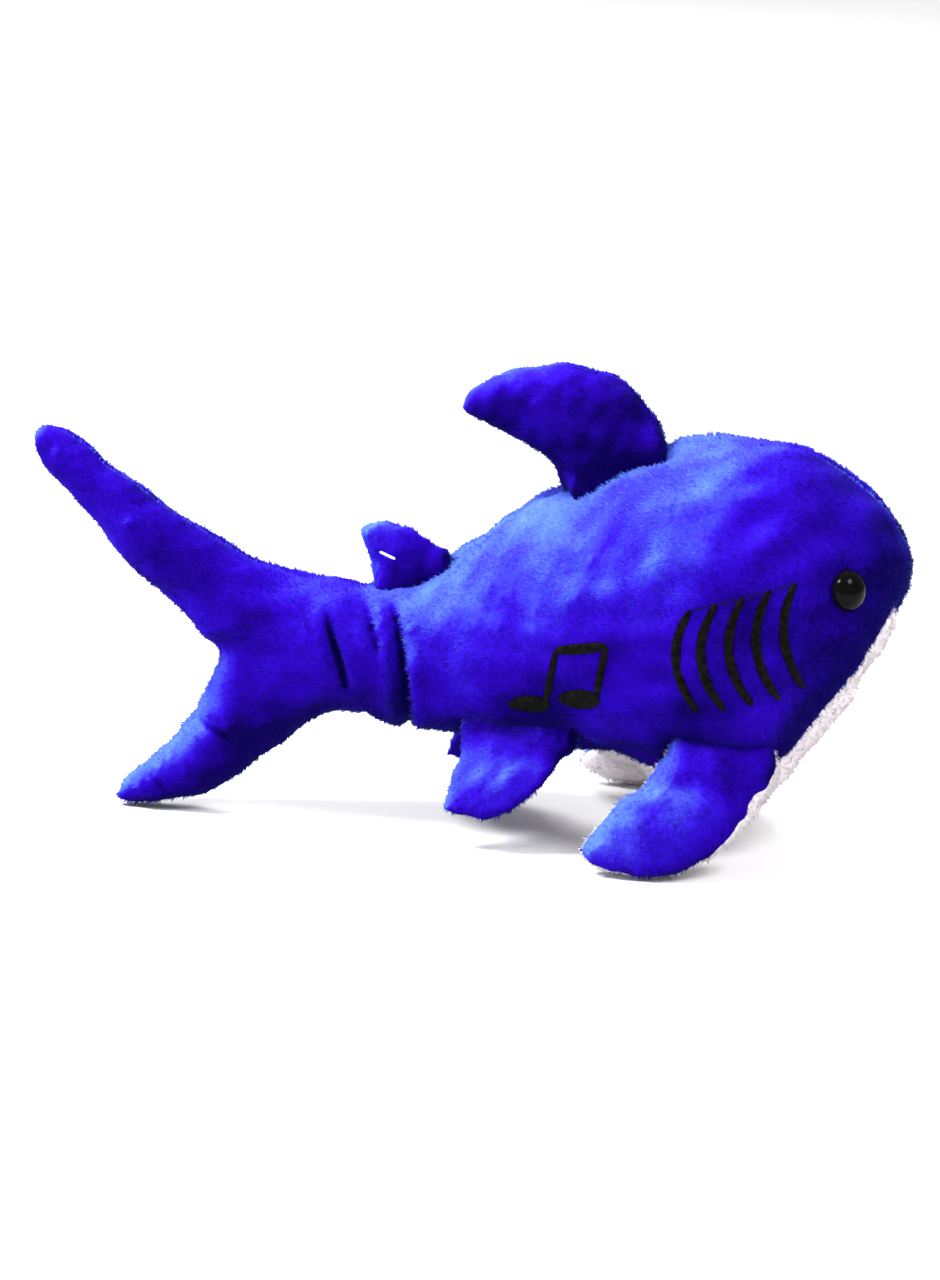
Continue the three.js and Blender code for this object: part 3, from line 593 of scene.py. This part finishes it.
def fitted(surface, outside, room, loose=None):
    """The surface moved along its normals until it lies room under the outside. loose marks points that
    only follow their neighbours."""
    tree = outside.tree()
    for _ in range(2):
        rise = np.empty(len(surface.points))
        for number, point in enumerate(surface.points):
            place, normal, _, _ = tree.find_nearest(Vector(point))
            rise[number] = (place - Vector(point)).dot(normal)
        rise -= room
        if loose is not None:
            rise[loose] = 0
        surface = surface.moved(surface.smooth_values(np.clip(rise, -3 * MM, 3 * MM), 4))
    return surface


def subdivided(surface, levels):
    return through_modifier(surface, "SUBSURF", levels=levels, render_levels=levels)


CLOTH_FRAMES = 20


def swelled(surface, pinned, pressure, most):
    """Cloth under pressure from inside. pinned points stay, and no point moves more than most."""
    scene = bpy.context.scene
    piece = surface.object("cloth", [])
    group = piece.vertex_groups.new(name="pins")
    group.add(np.flatnonzero(pinned).tolist(), 1.0, "REPLACE")
    cloth = piece.modifiers.new("cloth", "CLOTH")
    cloth.settings.use_pressure = True
    cloth.settings.uniform_pressure_force = pressure
    cloth.settings.vertex_group_mass = "pins"
    cloth.settings.quality = 6
    cloth.settings.bending_stiffness = 0.2
    cloth.settings.effector_weights.gravity = 0
    cloth.collision_settings.use_collision = False
    for number in range(1, CLOTH_FRAMES + 1):
        scene.frame_set(number)
    result = Surface.of(piece.evaluated_get(bpy.context.evaluated_depsgraph_get()).to_mesh())
    bpy.data.objects.remove(piece)
    scene.frame_set(1)
    moved = result.points - surface.points
    length = np.linalg.norm(moved, axis=1, keepdims=True)
    moved *= np.minimum(1, most / np.maximum(length, 1e-9))
    return Surface(surface.points + moved, surface.faces)


# ---- What a piece moves with, and what it hides ----


def move_with(piece, mover):
    """mover is a body's name, to which the piece is attached, or (body, body, start, end), for which the
    piece only has its transform baked in.
    """
    if isinstance(mover, str):
        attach(piece, mover)
    else:
        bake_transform(piece)


def dressed(piece, mover, replaced=()):
    """Gives a new piece its mover and hides the CAD nodes that it stands for."""
    move_with(piece, mover)
    if replaced:
        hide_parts(*replaced)
    return piece


# ---- Pile ----


def creased(sheet):
    """How far each point stands off the sheet's smoothed form, at most 0.35 on ridges and -1.8 in creases."""
    proud = ((sheet.points - sheet.relaxed(14).points) * sheet.normals()).sum(1)
    return np.clip(proud / (0.28 * MM), -1.8, 0.35)


def plush_tone(sheet, seed, tone):
    """How light the pile is at each point, about 0 to 1: lighter in random patches, with painted light on
    slopes that face the key lamp and painted shade in the creases. tone is added all over."""
    patches = 0.07 * waves(sheet.points, 38 * MM, seed) + 0.03 * waves(sheet.points, 10 * MM, seed + 1)
    # Painted light: the pile is lighter on slopes that face the key lamp.
    lit = sheet.relaxed(24).normals() @ PAINTED_LIGHT_SLOPE
    painted_light = 0.5 * lit + 0.24 * ramp(lit, 0.35, 0.75)
    # Painted shade: the pile is darker in the creases.
    crease_shade = np.minimum(sheet.smooth_values(creased(sheet), 4) + 0.5, 0)
    return tone + 0.26 + patches + painted_light + 0.5 * crease_shade


def scattered(sheet, density, rng, *fields):
    """Points spread evenly over a sheet of triangles, with the normals and each field's values there."""
    corners = sheet.points[sheet.faces]
    sides = corners[:, 1:] - corners[:, :1]
    areas = np.linalg.norm(np.cross(sides[:, 0], sides[:, 1]), axis=1) / 2
    chosen = rng.choice(len(areas), int(areas.sum() * density), p=areas / areas.sum())
    first, second = np.sqrt(rng.random(len(chosen))), rng.random(len(chosen))
    shares = np.stack([1 - first, first * (1 - second), first * second], axis=1)
    used = sheet.faces[chosen]
    places = (corners[chosen] * shares[:, :, None]).sum(1)
    up = unit((sheet.normals()[used] * shares[:, :, None]).sum(1))
    return [places, up, *((field[used] * shares).sum(1) for field in fields)]


def clumped(tips, rng, number):
    """Draws each tip towards the tip of the nearest of a number of leaders."""
    leaders = rng.choice(len(tips), number, replace=False)
    tree = KDTree(len(leaders))
    for place, leader in enumerate(leaders):
        tree.insert(Vector(tips[leader]), place)
    tree.balance()
    nearest = np.array([tree.find(Vector(tip))[1] for tip in tips])
    return tips + (tips[leaders[nearest]] - tips) * rng.uniform(0.3, 0.65, (len(tips), 1))


def leaning_tips(roots, up, crease, row, nap, rng, seed):
    """The tips of tufts that lean along the nap, ruffled in patches and rows and shorter in creases."""
    count = len(roots)
    lean = nap - up * (up @ nap)[:, None]
    ruffled = 0.8 * waves(roots, 34 * MM, seed + 1) + 0.3 * waves(roots, 10 * MM, seed + 2)
    ruffled = ruffled.clip(-1, 1)
    size = PILE_LENGTH * rng.uniform(0.75, 1.15, count) * (1 + 0.12 * ruffled + 0.2 * crease)
    upright = 0.66 + 0.1 * ruffled + 0.12 * row
    drift = lean * (0.62 - 0.3 * row)[:, None] + rng.normal(0, 0.28, (count, 3))
    return roots + (up * upright[:, None] + drift) * size[:, None]


def pyramids(roots, tips, up, rng):
    """A closed pyramid of three sides on each root, and normals that shade them much as the knit."""
    stalk = unit(tips - roots)
    across = unit(np.cross(stalk, rng.normal(size=roots.shape)))
    other = np.cross(stalk, across)
    base = roots - up * TUFT_ROOT
    spokes = [across * math.cos(angle) + other * math.sin(angle) for angle in (0, 2.0944, 4.1888)]
    points = np.stack([*(base + spoke * TUFT_WIDTH / 2 for spoke in spokes), tips], axis=1)
    shading = np.stack([*(up + 0.35 * spoke for spoke in spokes), up + 0.2 * stalk], axis=1)
    pattern = np.array([[0, 1, 3], [1, 2, 3], [2, 0, 3], [2, 1, 0]])
    faces = (np.arange(len(roots))[:, None, None] * 4 + pattern).reshape(-1, 3)
    return Surface(points, faces), unit(shading.reshape(-1, 3))


def pile(name, sheet, materials, seed, tone, nap=NAP, avoid=None, gathered=3):
    """Tufts of pile on a sheet, gathered in small clumps and in rows across the nap. tone is how light they
    are at each of the sheet's points, and none stand by the surface in the tree avoid."""
    rng = np.random.default_rng(seed)
    roots, up, tone, crease = scattered(sheet, TUFT_DENSITY, rng, tone, creased(sheet))
    if avoid is not None:
        clear = distances(roots, avoid) > 0.6 * MM
        roots, up, tone, crease = roots[clear], up[clear], tone[clear], crease[clear]
    nap = np.array(nap)
    row = np.sin((roots @ nap + 0.5 * MM * waves(roots, 14 * MM, seed + 3)) * 2 * math.pi / NAP_ROW)
    row *= ramp(waves(roots, 34 * MM, seed + 4), 0, 1)
    tips = leaning_tips(roots, up, crease, row, nap, rng, seed)
    tips = clumped(tips, rng, len(roots) // gathered)
    tufts, shading = pyramids(roots, tips, up, rng)
    tone = tone + 0.05 * row + rng.normal(0, 0.055, len(roots))
    shade = np.clip((tone * len(materials)).astype(int), 0, len(materials) - 1)
    return tufts.object(name, materials, np.repeat(shade, 4), shading)


# ---- The body and tail ----

SIDE_SKINS = ["skin_right", "skin_left", "tail_skin_right", "tail_skin_left"]
ALL_SKINS = [*SIDE_SKINS, "belly_panel"]
FINS = {
    "dorsal_fin": ["dorsal_fin_right_panel", "dorsal_fin_left_panel"],
    "rear_dorsal_fin": ["rear_dorsal_fin_right_panel", "rear_dorsal_fin_left_panel"],
    "pectoral_right": ["pectoral_right_top_panel", "pectoral_right_under_panel"],
    "pectoral_left": ["pectoral_left_top_panel", "pectoral_left_under_panel"],
    "pelvic_right": ["pelvic_right_outer_panel", "pelvic_right_inner_panel"],
    "pelvic_left": ["pelvic_left_outer_panel", "pelvic_left_inner_panel"],
}
WAIST = Vector(JOINTS["tail_wag"]["pos_m"])
BODY_TO_TAIL = ("body", "tail", WAIST + Vector((16 * MM, 0, 0)), WAIST - Vector((18 * MM, 0, 0)))
# Creases of the flank and tail, in millimetres ahead of and above the tail's hinge. Each has its line, its
# depth and its width.
CREASES = [
    ([(24.5, 32), (26.5, 24), (30.5, 15.5), (33.5, 0), (35.6, -14.7), (36, -22)], 3.8, 1.6),
    ([(16.5, 30), (18.4, 25.5), (21.5, 17), (26.5, 4)], 2.6, 1.8),
    ([(8.5, 18), (11, 11), (14.5, 1), (17, -8)], 3.0, 1.5),
    ([(3, 21), (5, 12), (8, 5)], 0.8, 1.8),
    ([(22, -14), (24, -20), (23, -26)], 1.1, 1.8),
    ([(-28.5, -20), (-23, -22), (-17, -26)], 1.3, 1.5),
    ([(-43.5, -36), (-39.5, -40.5), (-35, -44)], 1.0, 1.6),
    ([(-25, 3.5), (-18, 6), (-11, 8.5)], 1.0, 2.2),
]
CHIN_SEAM = 3.0 * MM  # how far the blue reaches over onto the chin
# Fuller and slacker places: the middle and half-width along the body and the height, in millimetres, and
# whether the place is on top (1) or underneath (-1).
PUFFS = [
    (12, 18, 2.8, 1),
    (-40, 14, 2.4, 1),
    (88, 22, 1.1, 1),
    (-68, 18, 2.6, -1),
    (-105, 18, 0.6, -1),
    (46, 22, -3.6, -1),
]


def body_surface():
    """The toy's body and tail as one closed surface of quads, about 0.8 mm apart."""
    outside = closed_up([*ALL_SKINS, "body_stuffing", "tail_stuffing"], 3.2 * MM)
    hidden = distances(outside.points, node_surface(ALL_SKINS).tree()) > 1.5 * MM
    spread = outside.smooth_values(hidden.astype(float), 2) > 0.15
    outside = outside.relaxed(400, np.where(spread, 1.0, 0.0))
    room = PILE_ROOM + 0.6 * MM * ramp(outside.points[:, 0], WAIST.x - 45 * MM, WAIST.x)
    room -= 0.8 * MM * ramp(-outside.points[:, 0], 20 * MM - WAIST.x, 55 * MM - WAIST.x)
    coarse = fitted(outside.relaxed(3), outside, room, spread)
    seam = np.abs(coarse.points[:, 1]) < 1.8 * MM
    seam |= np.abs(belly_side(coarse)) < 1.6 * MM
    return subdivided(swelled(coarse, seam | spread, 3, 1.6 * MM).relaxed(1), 2)


def belly_side(surface):
    """How far each point is inside the belly panel, below zero outside it."""
    side = distances(surface.points, node_surface(SIDE_SKINS).tree())
    return side - distances(surface.points, node_surface(["belly_panel"]).tree())


def crease_rise(points, line, depth, width):
    """The relief of one crease: a sharp valley between two soft ridges, dying out at its ends."""
    line = np.array(line) * MM + np.array(WAIST)[[0, 2]]
    flat = points[:, [0, 2]].copy()
    flat[:, 0] += 2.5 * MM * ramp(points[:, 1], 2 * MM, 12 * MM)
    nearest = np.full(len(points), 1.0)
    share = np.zeros(len(points))
    for number, (start, end) in enumerate(zip(line[:-1], line[1:])):
        along = end - start
        t = np.clip((flat - start) @ along / (along @ along), 0, 1)
        away = np.linalg.norm(flat - start - t[:, None] * along, axis=1)
        share = np.where(away < nearest, (number + t) / (len(line) - 1), share)
        nearest = np.minimum(nearest, away)
    strength = 1 - np.abs(2 * share - 1) ** 3
    valley = bell(nearest, width * MM)
    ridges = bell(nearest - 2.2 * width * MM, 1.3 * width * MM)
    return strength * depth * MM * (0.3 * ridges - valley)


def shape_body(body):
    """Adds the sewn and squeezed relief to the body. Also returns how far each point is inside the belly's
    seams, below zero outside them."""
    points = body.points
    belly = body.smooth_values(belly_side(body), 10) - CHIN_SEAM * ramp(points[:, 0], 70 * MM, 95 * MM)
    rise = 0.55 * MM * waves(points, 36 * MM, 3) + 0.22 * MM * waves(points, 12 * MM, 4)
    rise += np.where(belly > 0, 0.6 * MM * waves(points, 13 * MM, 5), 0) * ramp(belly, 0, 5 * MM)
    rise -= 1.0 * MM * bell(points[:, 1], 1.4 * MM)
    rise -= 1.2 * MM * bell(belly, 1.7 * MM)
    facing_up = body.normals()[:, 2]
    slack = 1 - 0.85 * ramp(facing_up, 0.3, 0.9)
    for line, depth, width in CREASES:
        rise += slack * crease_rise(points, line, depth, width)
    for panels in FINS.values():
        rise -= 0.6 * MM * bell(distances(points, node_surface(panels).tree()), 2.0 * MM)
    for side, _ in SIDES:
        seat, _ = eye_seat(side)
        rise += 1.0 * MM * bell(np.linalg.norm(points - seat, axis=1), 8 * MM)
    for place, width, height, up in PUFFS:
        rise += height * MM * bell(points[:, 0] - place * MM, width * MM) * ramp(up * facing_up, 0.15, 0.85)
    rise -= 0.5 * MM * bell(distances(points, node_surface(stitched_nodes()).tree()), 2.4 * MM)
    return body.moved(rise), belly


def make_body(body, belly, avoid):
    """The two blue sides and the white belly, cut along their seams, each a knit with its pile."""
    side, white = (part.largest_part() for part in body.cut(-belly))
    for (name, sign), part in zip((("left", 1), ("right", -1)), side.cut(side.points[:, 1])):
        tone = plush_tone(part, 33 + sign, 0)
        piece = part.thickened(BACKING).object(f"plush_side_{name}", [BLUE], tone=np.tile(tone, 2))
        dressed(piece, BODY_TO_TAIL, [f"skin_{name}", f"tail_skin_{name}"])
        tufts = pile(f"pile_side_{name}", part, BLUE_PILE, 10 + sign, tone, avoid=avoid)
        dressed(tufts, BODY_TO_TAIL)
    tone = plush_tone(white, 36, 0.1)
    piece = white.thickened(BACKING).object("plush_belly", [WHITE], tone=np.tile(tone, 2))
    dressed(piece, "body", ["belly_panel"])
    dressed(pile("pile_belly", white, WHITE_PILE, 20, tone, gathered=2), "body")


# ---- Filling ----


def make_filling(name, plush, voxel, mover, depth, seed):
    """Loose fibre in place of a CAD filling: lumpy, and at least depth under the plush all over."""
    lumps = closed_up([name], voxel).relaxed(2)
    lumps = lumps.moved(0.5 * MM * waves(lumps.points, 9 * MM, seed) - 0.4 * MM)
    tree = plush.tree()
    for _ in range(2):
        for number, point in enumerate(lumps.points):
            place, normal, _, _ = tree.find_nearest(Vector(point))
            short = depth - (place - Vector(point)).dot(normal)
            if short > 0:
                lumps.points[number] = point - np.array(normal) * short
    lumps = subdivided(lumps.relaxed(1), 1)
    dressed(lumps.object(f"fibre_{name}", [FIBREFILL]), mover, [name])


# ---- Fins ----

FRONT_WRAP = 3.0 * MM  # how far the white underside wraps round a pectoral's front edge
BACK_WRAP = -0.9 * MM  # and its back edge, where the blue wraps under
FIN_TONE_AND_LIGHT = {"dorsal_fin": -0.13, "rear_dorsal_fin": 0.14, "pectoral": 0.18, "pelvic": 0.1}  # added to each fin's pile tone: its own colour and painted light and shade
ROOT_DEPTH = 4 * MM  # how much further a fin's root goes into the body than in the CAD
ROOT_CORNERS = 3.5 * MM  # and how much further again its corners do
ROOT_PAINTED_SHADE = 0.25  # painted shade: how much darker the pile is near a fin's root, where the fin meets the body
BODY_AXIS = 60 * MM  # height of the body's middle
BIG_FINS = ("dorsal_fin", "pectoral_right", "pectoral_left")


def fin_axes(joint):
    """A fin's own axes as matrix rows: along its hinge, through its thickness, and from root to tip."""
    along = Vector(joint["axis"]).normalized()
    middles = [sum(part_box(name), Vector()) / 2 for name in FINS[joint["child"]]]
    reach = sum(middles, Vector()) / len(middles) - Vector(joint["pos_m"])
    reach = (reach - along * reach.dot(along)).normalized()
    return np.array([along, reach.cross(along), reach])


def fin_surface(fin, axes, pivot, voxel, levels, seed):
    """A fin as one closed surface of quads, swelled between the seams round its edge."""
    fill = [f"{fin}_stuffing"] if f"{fin}_stuffing" in frame["nodes"] else []
    outside = closed_up([*FINS[fin], *fill], voxel)
    coarse = fitted(outside.relaxed(4), outside, -0.1 * MM)
    local = (coarse.points - pivot) @ axes.T
    root = local[np.abs(local[:, 2]) < 3 * MM, 0]
    middle, half = (root.max() + root.min()) / 2, (root.max() - root.min()) / 2
    corners = ramp(np.abs(local[:, 0] - middle) / half, 0.55, 1) * ramp(-local[:, 2], -8 * MM, 0)
    sunk = ROOT_DEPTH * ramp(-local[:, 2], -2 * MM, 2 * MM) + ROOT_CORNERS * corners
    inwards = unit(np.array((0, -pivot[1], BODY_AXIS - pivot[2])))
    coarse.points += sunk[:, None] * inwards
    edge = np.abs(coarse.normals() @ axes[1]) < 0.45
    coarse = swelled(coarse, (local[:, 2] < 2 * MM) | edge, 3, 1.1 * MM).relaxed(2)
    fine = subdivided(coarse, levels)
    local = (fine.points - pivot) @ axes.T
    rise = 0.3 * MM * waves(fine.points, 18 * MM, seed) + 0.15 * MM * waves(fine.points, 7 * MM, seed + 1)
    rise -= 0.55 * MM * bell(local[:, 1], 1.1 * MM) * ramp(local[:, 2], 0, 6 * MM)
    return fine.moved(rise)


def make_fin(joint, voxel, levels, seed):
    """A fin's two panels, each a knit with its pile, and its filling if it has one."""
    fin = joint["child"]
    axes = fin_axes(joint)
    pivot = np.array(joint["pos_m"])
    fine = fin_surface(fin, axes, pivot, voxel, levels, seed)
    start = Vector(pivot) - Vector(axes[2]) * 6 * MM
    mover = ("body", fin, start, start + Vector(axes[2]) * 12 * MM)
    local = (fine.points - pivot) @ axes.T
    depth = {name: (np.array(sum(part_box(name), Vector()) / 2) - pivot) @ axes[1] for name in FINS[fin]}
    front, back = sorted(FINS[fin], key=lambda name: -depth[name])
    ahead = local[:, 0] * np.sign(axes[0][0])
    wrap = BACK_WRAP + (FRONT_WRAP - BACK_WRAP) * ramp(ahead, -8 * MM, 4 * MM)
    wrap *= ("under" in front) - ("under" in back)
    nap = Vector(axes[2]) * 0.8 + NAP * 0.5
    for name, part in zip((front, back), fine.triangles().cut(local[:, 1] + wrap)):
        white = "under" in name
        tone = plush_tone(part, seed, next(value for kind, value in FIN_TONE_AND_LIGHT.items() if fin.startswith(kind)))
        # Painted shade towards the fin's root, where it meets the body.
        tone -= ROOT_PAINTED_SHADE * (1 - ramp((part.points - pivot) @ axes[2], 0, 9 * MM))
        fabric = [WHITE if white else BLUE]
        knit = part.thickened(FIN_BACKING).object(f"plush_{name}", fabric, tone=np.tile(tone, 2))
        dressed(knit, mover, [name])
        shades = WHITE_PILE if white else BLUE_PILE
        dressed(pile(f"pile_{name}", part, shades, seed + 5, tone, nap=nap.normalized()), mover)
        seed += 1
    if f"{fin}_stuffing" in frame["nodes"]:
        make_filling(f"{fin}_stuffing", fine, 1.8 * MM, mover, 2.2 * MM, seed + 7)


def make_fins():
    """Every fin: the big ones from coarser voxels and twice subdivided."""
    for number, joint in enumerate(frame["joints"]):
        if joint["child"] in BIG_FINS:
            make_fin(joint, 1.8 * MM, 2, 100 + 20 * number)
        elif joint["child"] in FINS:
            make_fin(joint, 1.1 * MM, 1, 100 + 20 * number)


# ---- Embroidery ----

THREAD_PITCH = 0.5 * MM  # between the threads of a satin stitch
THREAD_RIDGE = 0.08 * MM  # height of each thread's ridge
STITCH_HEIGHT = 0.75 * MM
BAND_ACROSS = np.linspace(-1, 1, 11)  # places across a band of stitch
GILL_WIDTH = 2.9 * MM
CARRIED_THREAD = 0.22 * MM  # radius of the thread that is carried from gill to gill


def stitched_nodes():
    """The names of the embroidered CAD nodes."""
    return [name for name in frame["nodes"] if name.startswith("gill_")] + ["note_embroidery"]


def on_plush(plush, flat, sign):
    """Points and normals of the plush's side, under (x, z) points."""
    found = [plush.ray_cast(Vector((x, sign * 0.2, z)), Vector((0, -sign, 0))) for x, z in flat]
    return np.array([place for place, _, _, _ in found]), np.array([normal for _, normal, _, _ in found])


def smoothed(values, degree=5):
    """Each column replaced by its best polynomial."""
    share = np.linspace(0, 1, len(values))
    return np.stack([np.polyval(np.polyfit(share, column, degree), share) for column in values.T], axis=1)


def along_line(line, spacing):
    """Evenly spaced points along a line of (x, z) points."""
    line = np.array(line)
    lengths = np.concatenate([[0], np.cumsum(np.linalg.norm(np.diff(line, axis=0), axis=1))])
    places = np.linspace(0, lengths[-1], max(int(lengths[-1] / spacing), 8))
    return np.stack([np.interp(places, lengths, line[:, axis]) for axis in range(2)], axis=1)


def blunt(share):
    """The width of a band with blunt ends, as a share of its full width."""
    return 0.35 + 0.65 * np.sqrt(1 - np.abs(2 * share - 1) ** 3)


def oval(share):
    """The width of an oval."""
    return np.sqrt(np.maximum(1 - (2 * share - 1) ** 2, 0.02))


def satin(plush, line, sign, width, profile=blunt, lift=0.0):
    """A closed band of satin stitch along a line of (x, z) points on the plush's side, raised by lift."""
    centres, normals = on_plush(plush, along_line(line, THREAD_PITCH / 4), sign)
    centres = smoothed(centres)
    normals = unit(smoothed(normals, 3))
    across = unit(np.cross(np.gradient(centres, axis=0), normals))
    share = np.linspace(0, 1, len(centres))
    run = share * np.linalg.norm(np.diff(centres, axis=0), axis=1).sum()
    half = (width / 2 * profile(share))[:, None]
    thread = (run[:, None] + 0.1 * width * BAND_ACROSS) * 2 * math.pi / THREAD_PITCH
    height = lift + STITCH_HEIGHT * np.sqrt(1.02 - BAND_ACROSS**2) + THREAD_RIDGE * np.cos(thread)
    half = np.concatenate([half * BAND_ACROSS, half, -half], axis=1)
    height = np.concatenate([height, np.full((len(height), 2), -0.5 * MM)], axis=1)
    rings = centres[:, None] + across[:, None] * half[:, :, None] + normals[:, None] * height[:, :, None]
    return closed_tube(rings)


def tube(line, radius, around=12):
    """A closed round tube along a line of points in space."""
    line = np.array(line)
    tangent = unit(np.gradient(line, axis=0))
    across = unit(np.cross(tangent, (0.1, 0.95, 0.2)))
    other = np.cross(tangent, across)
    angle = np.arange(around) * 2 * math.pi / around
    circle = across[:, None] * np.cos(angle)[:, None] + other[:, None] * np.sin(angle)[:, None]
    share = np.linspace(-1, 1, len(line))[:, None, None]
    return closed_tube(line[:, None] + circle * radius * np.sqrt(1.02 - share**12))


def gill_line(name):
    """The middle of a gill slit's band as (x, z) points from its top to its foot."""
    points = Surface.of(frame["nodes"][name].data).points
    bend = np.polyfit(points[:, 2], points[:, 0], 3)
    heights = np.linspace(points[:, 2].max() - 0.5 * MM, points[:, 2].min() + 1.7 * MM, 30)
    return np.stack([np.polyval(bend, heights), heights], axis=1)


def make_gills(plush):
    """Five runs of satin stitch a side, with the thread carried over from the top of each to the next."""
    for side, sign in SIDES:
        lines = [gill_line(f"gill_{side}_{number}") for number in range(1, 6)]
        for number, line in enumerate(lines):
            shapes = [satin(plush, line, sign, GILL_WIDTH)]
            if number:
                flat = along_line([lines[number - 1][0], line[0]], 0.4 * MM)
                places, normals = on_plush(plush, flat, sign)
                shapes.append(tube(smoothed(places + normals * 1.2 * MM, 3), CARRIED_THREAD, 8))
            piece = joined(shapes).object(f"stitch_gill_{side}_{number + 1}", [THREAD])
            dressed(piece, "body", [f"gill_{side}_{number + 1}"])


# The note in millimetres, from the corner of its box that is lowest and furthest back.
NOTE_HEADS = [(5.7, 3.8), (20.4, 7.8)]
NOTE_HEAD = (6.1, 6.6)  # half its length, and its width
NOTE_TILT = math.radians(8)
NOTE_STEMS = [[(10.4, 4.6), (12.6, 22.2)], [(25.0, 8.6), (27.2, 25.4)]]
NOTE_STEM_WIDTH = 2.3
NOTE_BEAM_WIDTH = 3.2


def make_note(plush):
    """A pair of notes under one beam, in satin stitch on the right side."""
    low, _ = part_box("note_embroidery")
    corner = np.array((low.x, low.z))
    along = np.array((math.cos(NOTE_TILT), math.sin(NOTE_TILT))) * NOTE_HEAD[0]
    beam = [NOTE_STEMS[0][1], NOTE_STEMS[1][1]]
    heads = [[np.array(head) - along, np.array(head) + along] for head in NOTE_HEADS]
    runs = [(head, NOTE_HEAD[1], oval, 0.05) for head in heads]
    runs += [(stem, NOTE_STEM_WIDTH, blunt, 0.1) for stem in NOTE_STEMS]
    runs.append((beam, NOTE_BEAM_WIDTH, blunt, 0.15))
    shapes = [
        satin(plush, corner + np.array(line) * MM, -1, width * MM, profile, lift * MM)
        for line, width, profile, lift in runs
    ]
    piece = joined(shapes).object("stitch_note", [THREAD])
    dressed(piece, "body", ["note_embroidery"])


# ---- Eyes and fasteners ----

EYE_RADIUS = 6.2 * MM
EYE_RISE = 4.7 * MM  # height of the dome
EYE_SHAFT = (1.7 * MM, -13 * MM)  # radius, and depth of its end
EYE_SINK = 0.8 * MM  # how far the pull of the washer sinks an eye
EYE_TURN = 0.42  # how much it turns an eye towards the nose


def eye_seat(side):
    """Where an eye's axis meets the skin, and the axis pointing out."""
    points = Surface.of(frame["nodes"][f"eye_{side}"].data).points
    middle = points.mean(0)
    axis = np.linalg.svd(points - middle)[2][0]
    axis *= np.sign(axis[1] * middle[1])
    seat = middle + axis * (((points - middle) @ axis).max() - EYE_RISE)
    return seat, unit(axis + EYE_TURN * np.array((1, 0, 0)))


def make_eye(side):
    """A safety eye: a dome with a rounded rim, on its shaft."""
    seat, axis = eye_seat(side)
    bend = np.linspace(0, math.pi / 2 - 0.01, 20)
    shaft, depth = EYE_SHAFT
    radius = [shaft, shaft, 0.9 * EYE_RADIUS, 0.99 * EYE_RADIUS, *(EYE_RADIUS * np.cos(bend))]
    height = [depth, -1.8 * MM, -1.6 * MM, -1.1 * MM, *(EYE_RISE * np.sin(bend))]
    across = unit(np.cross(axis, (0, 0, 1)))
    other = np.cross(axis, across)
    angle = np.arange(64) * 2 * math.pi / 64
    circle = np.outer(np.cos(angle), across) + np.outer(np.sin(angle), other)
    centres = seat + np.outer(np.array(height) - EYE_SINK, axis)
    eye = closed_tube(centres[:, None] + circle * np.array(radius)[:, None, None])
    dressed(eye.object(f"plush_eye_{side}", [EYE_GLOSS]), "body", [f"eye_{side}"])


BAR_RADIUS = 0.38 * MM
LOOP_RADIUS = 0.42 * MM


def make_fasteners():
    """The bar of one tag fastener and the loop of another."""
    low, high = (np.array(corner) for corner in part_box("tag_bar"))
    middle = (low[1] + high[1]) / 2
    ends = np.array([(low[0], middle, high[2]), (high[0], middle, low[2])])
    line = ends[0] + np.linspace(0, 1, 24)[:, None] * (ends[1] - ends[0])
    dressed(tube(line, BAR_RADIUS).object("nylon_bar", [NYLON]), "body", ["tag_bar"])
    low, high = (np.array(corner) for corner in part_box("tag_loop"))
    turn = np.linspace(0, math.pi, 40)
    half = (high[0] - low[0]) / 2 - 0.3 * MM
    line = np.stack(
        [
            low[0] + 0.3 * MM + half * (1 - np.cos(turn)),
            np.full(40, -2.2 * MM),
            low[2] + (high[2] - low[2] - 0.3 * MM) * np.sin(turn) ** 0.7,
        ],
        axis=1,
    )
    dressed(tube(line, LOOP_RADIUS).object("nylon_loop", [NYLON]), "body", ["tag_loop"])


SPRING_WIRE = 0.28 * MM  # radius
SPRING_TURNS = 2.5


def make_button_spring():
    """The coil under the sound button, wound inside the CAD spring's bounds."""
    joint = JOINTS["sound_button_press"]
    inwards = np.array(Vector(joint["axis"]).normalized())
    middle = np.array(sum(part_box("sound_button"), Vector()) / 2)
    points = Surface.of(frame["nodes"]["button_spring"].data).points - middle
    depth = points @ inwards
    coil = np.linalg.norm(points - np.outer(depth, inwards), axis=1).max() - SPRING_WIRE
    turn = np.linspace(0, 2 * math.pi * SPRING_TURNS, 200)
    across = np.cross(inwards, (0, 0, 1))
    along = np.linspace(depth.min() + SPRING_WIRE, depth.max() - SPRING_WIRE, 200)
    round_axis = np.outer(np.cos(turn), across) + np.outer(np.sin(turn), (0, 0, 1))
    line = middle + np.outer(along, inwards) + coil * round_axis
    spring = tube(line, SPRING_WIRE, 10).object("coil_spring", [STEEL])
    dressed(spring, "body", ["button_spring"])
    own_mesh(spring)


# ---- The scene ----

make_camera()
make_studio()
smooth_body = body_surface()
body, belly = shape_body(smooth_body)
plush = body.tree()
make_gills(plush)
make_note(plush)
for side, _ in SIDES:
    make_eye(side)
stitches = [piece.data for piece in bpy.data.objects if piece.name.startswith("stitch_")]
avoid = joined([Surface.of(mesh).triangles() for mesh in stitches]).tree()
make_body(body.triangles(), belly, avoid)
make_fasteners()
make_button_spring()
make_fins()
make_filling("body_stuffing", smooth_body, 2.8 * MM, "body", 5.6 * MM, 41)
make_filling("tail_stuffing", smooth_body, 2.8 * MM, "tail", 3.4 * MM, 43)
finish_cad_nodes()
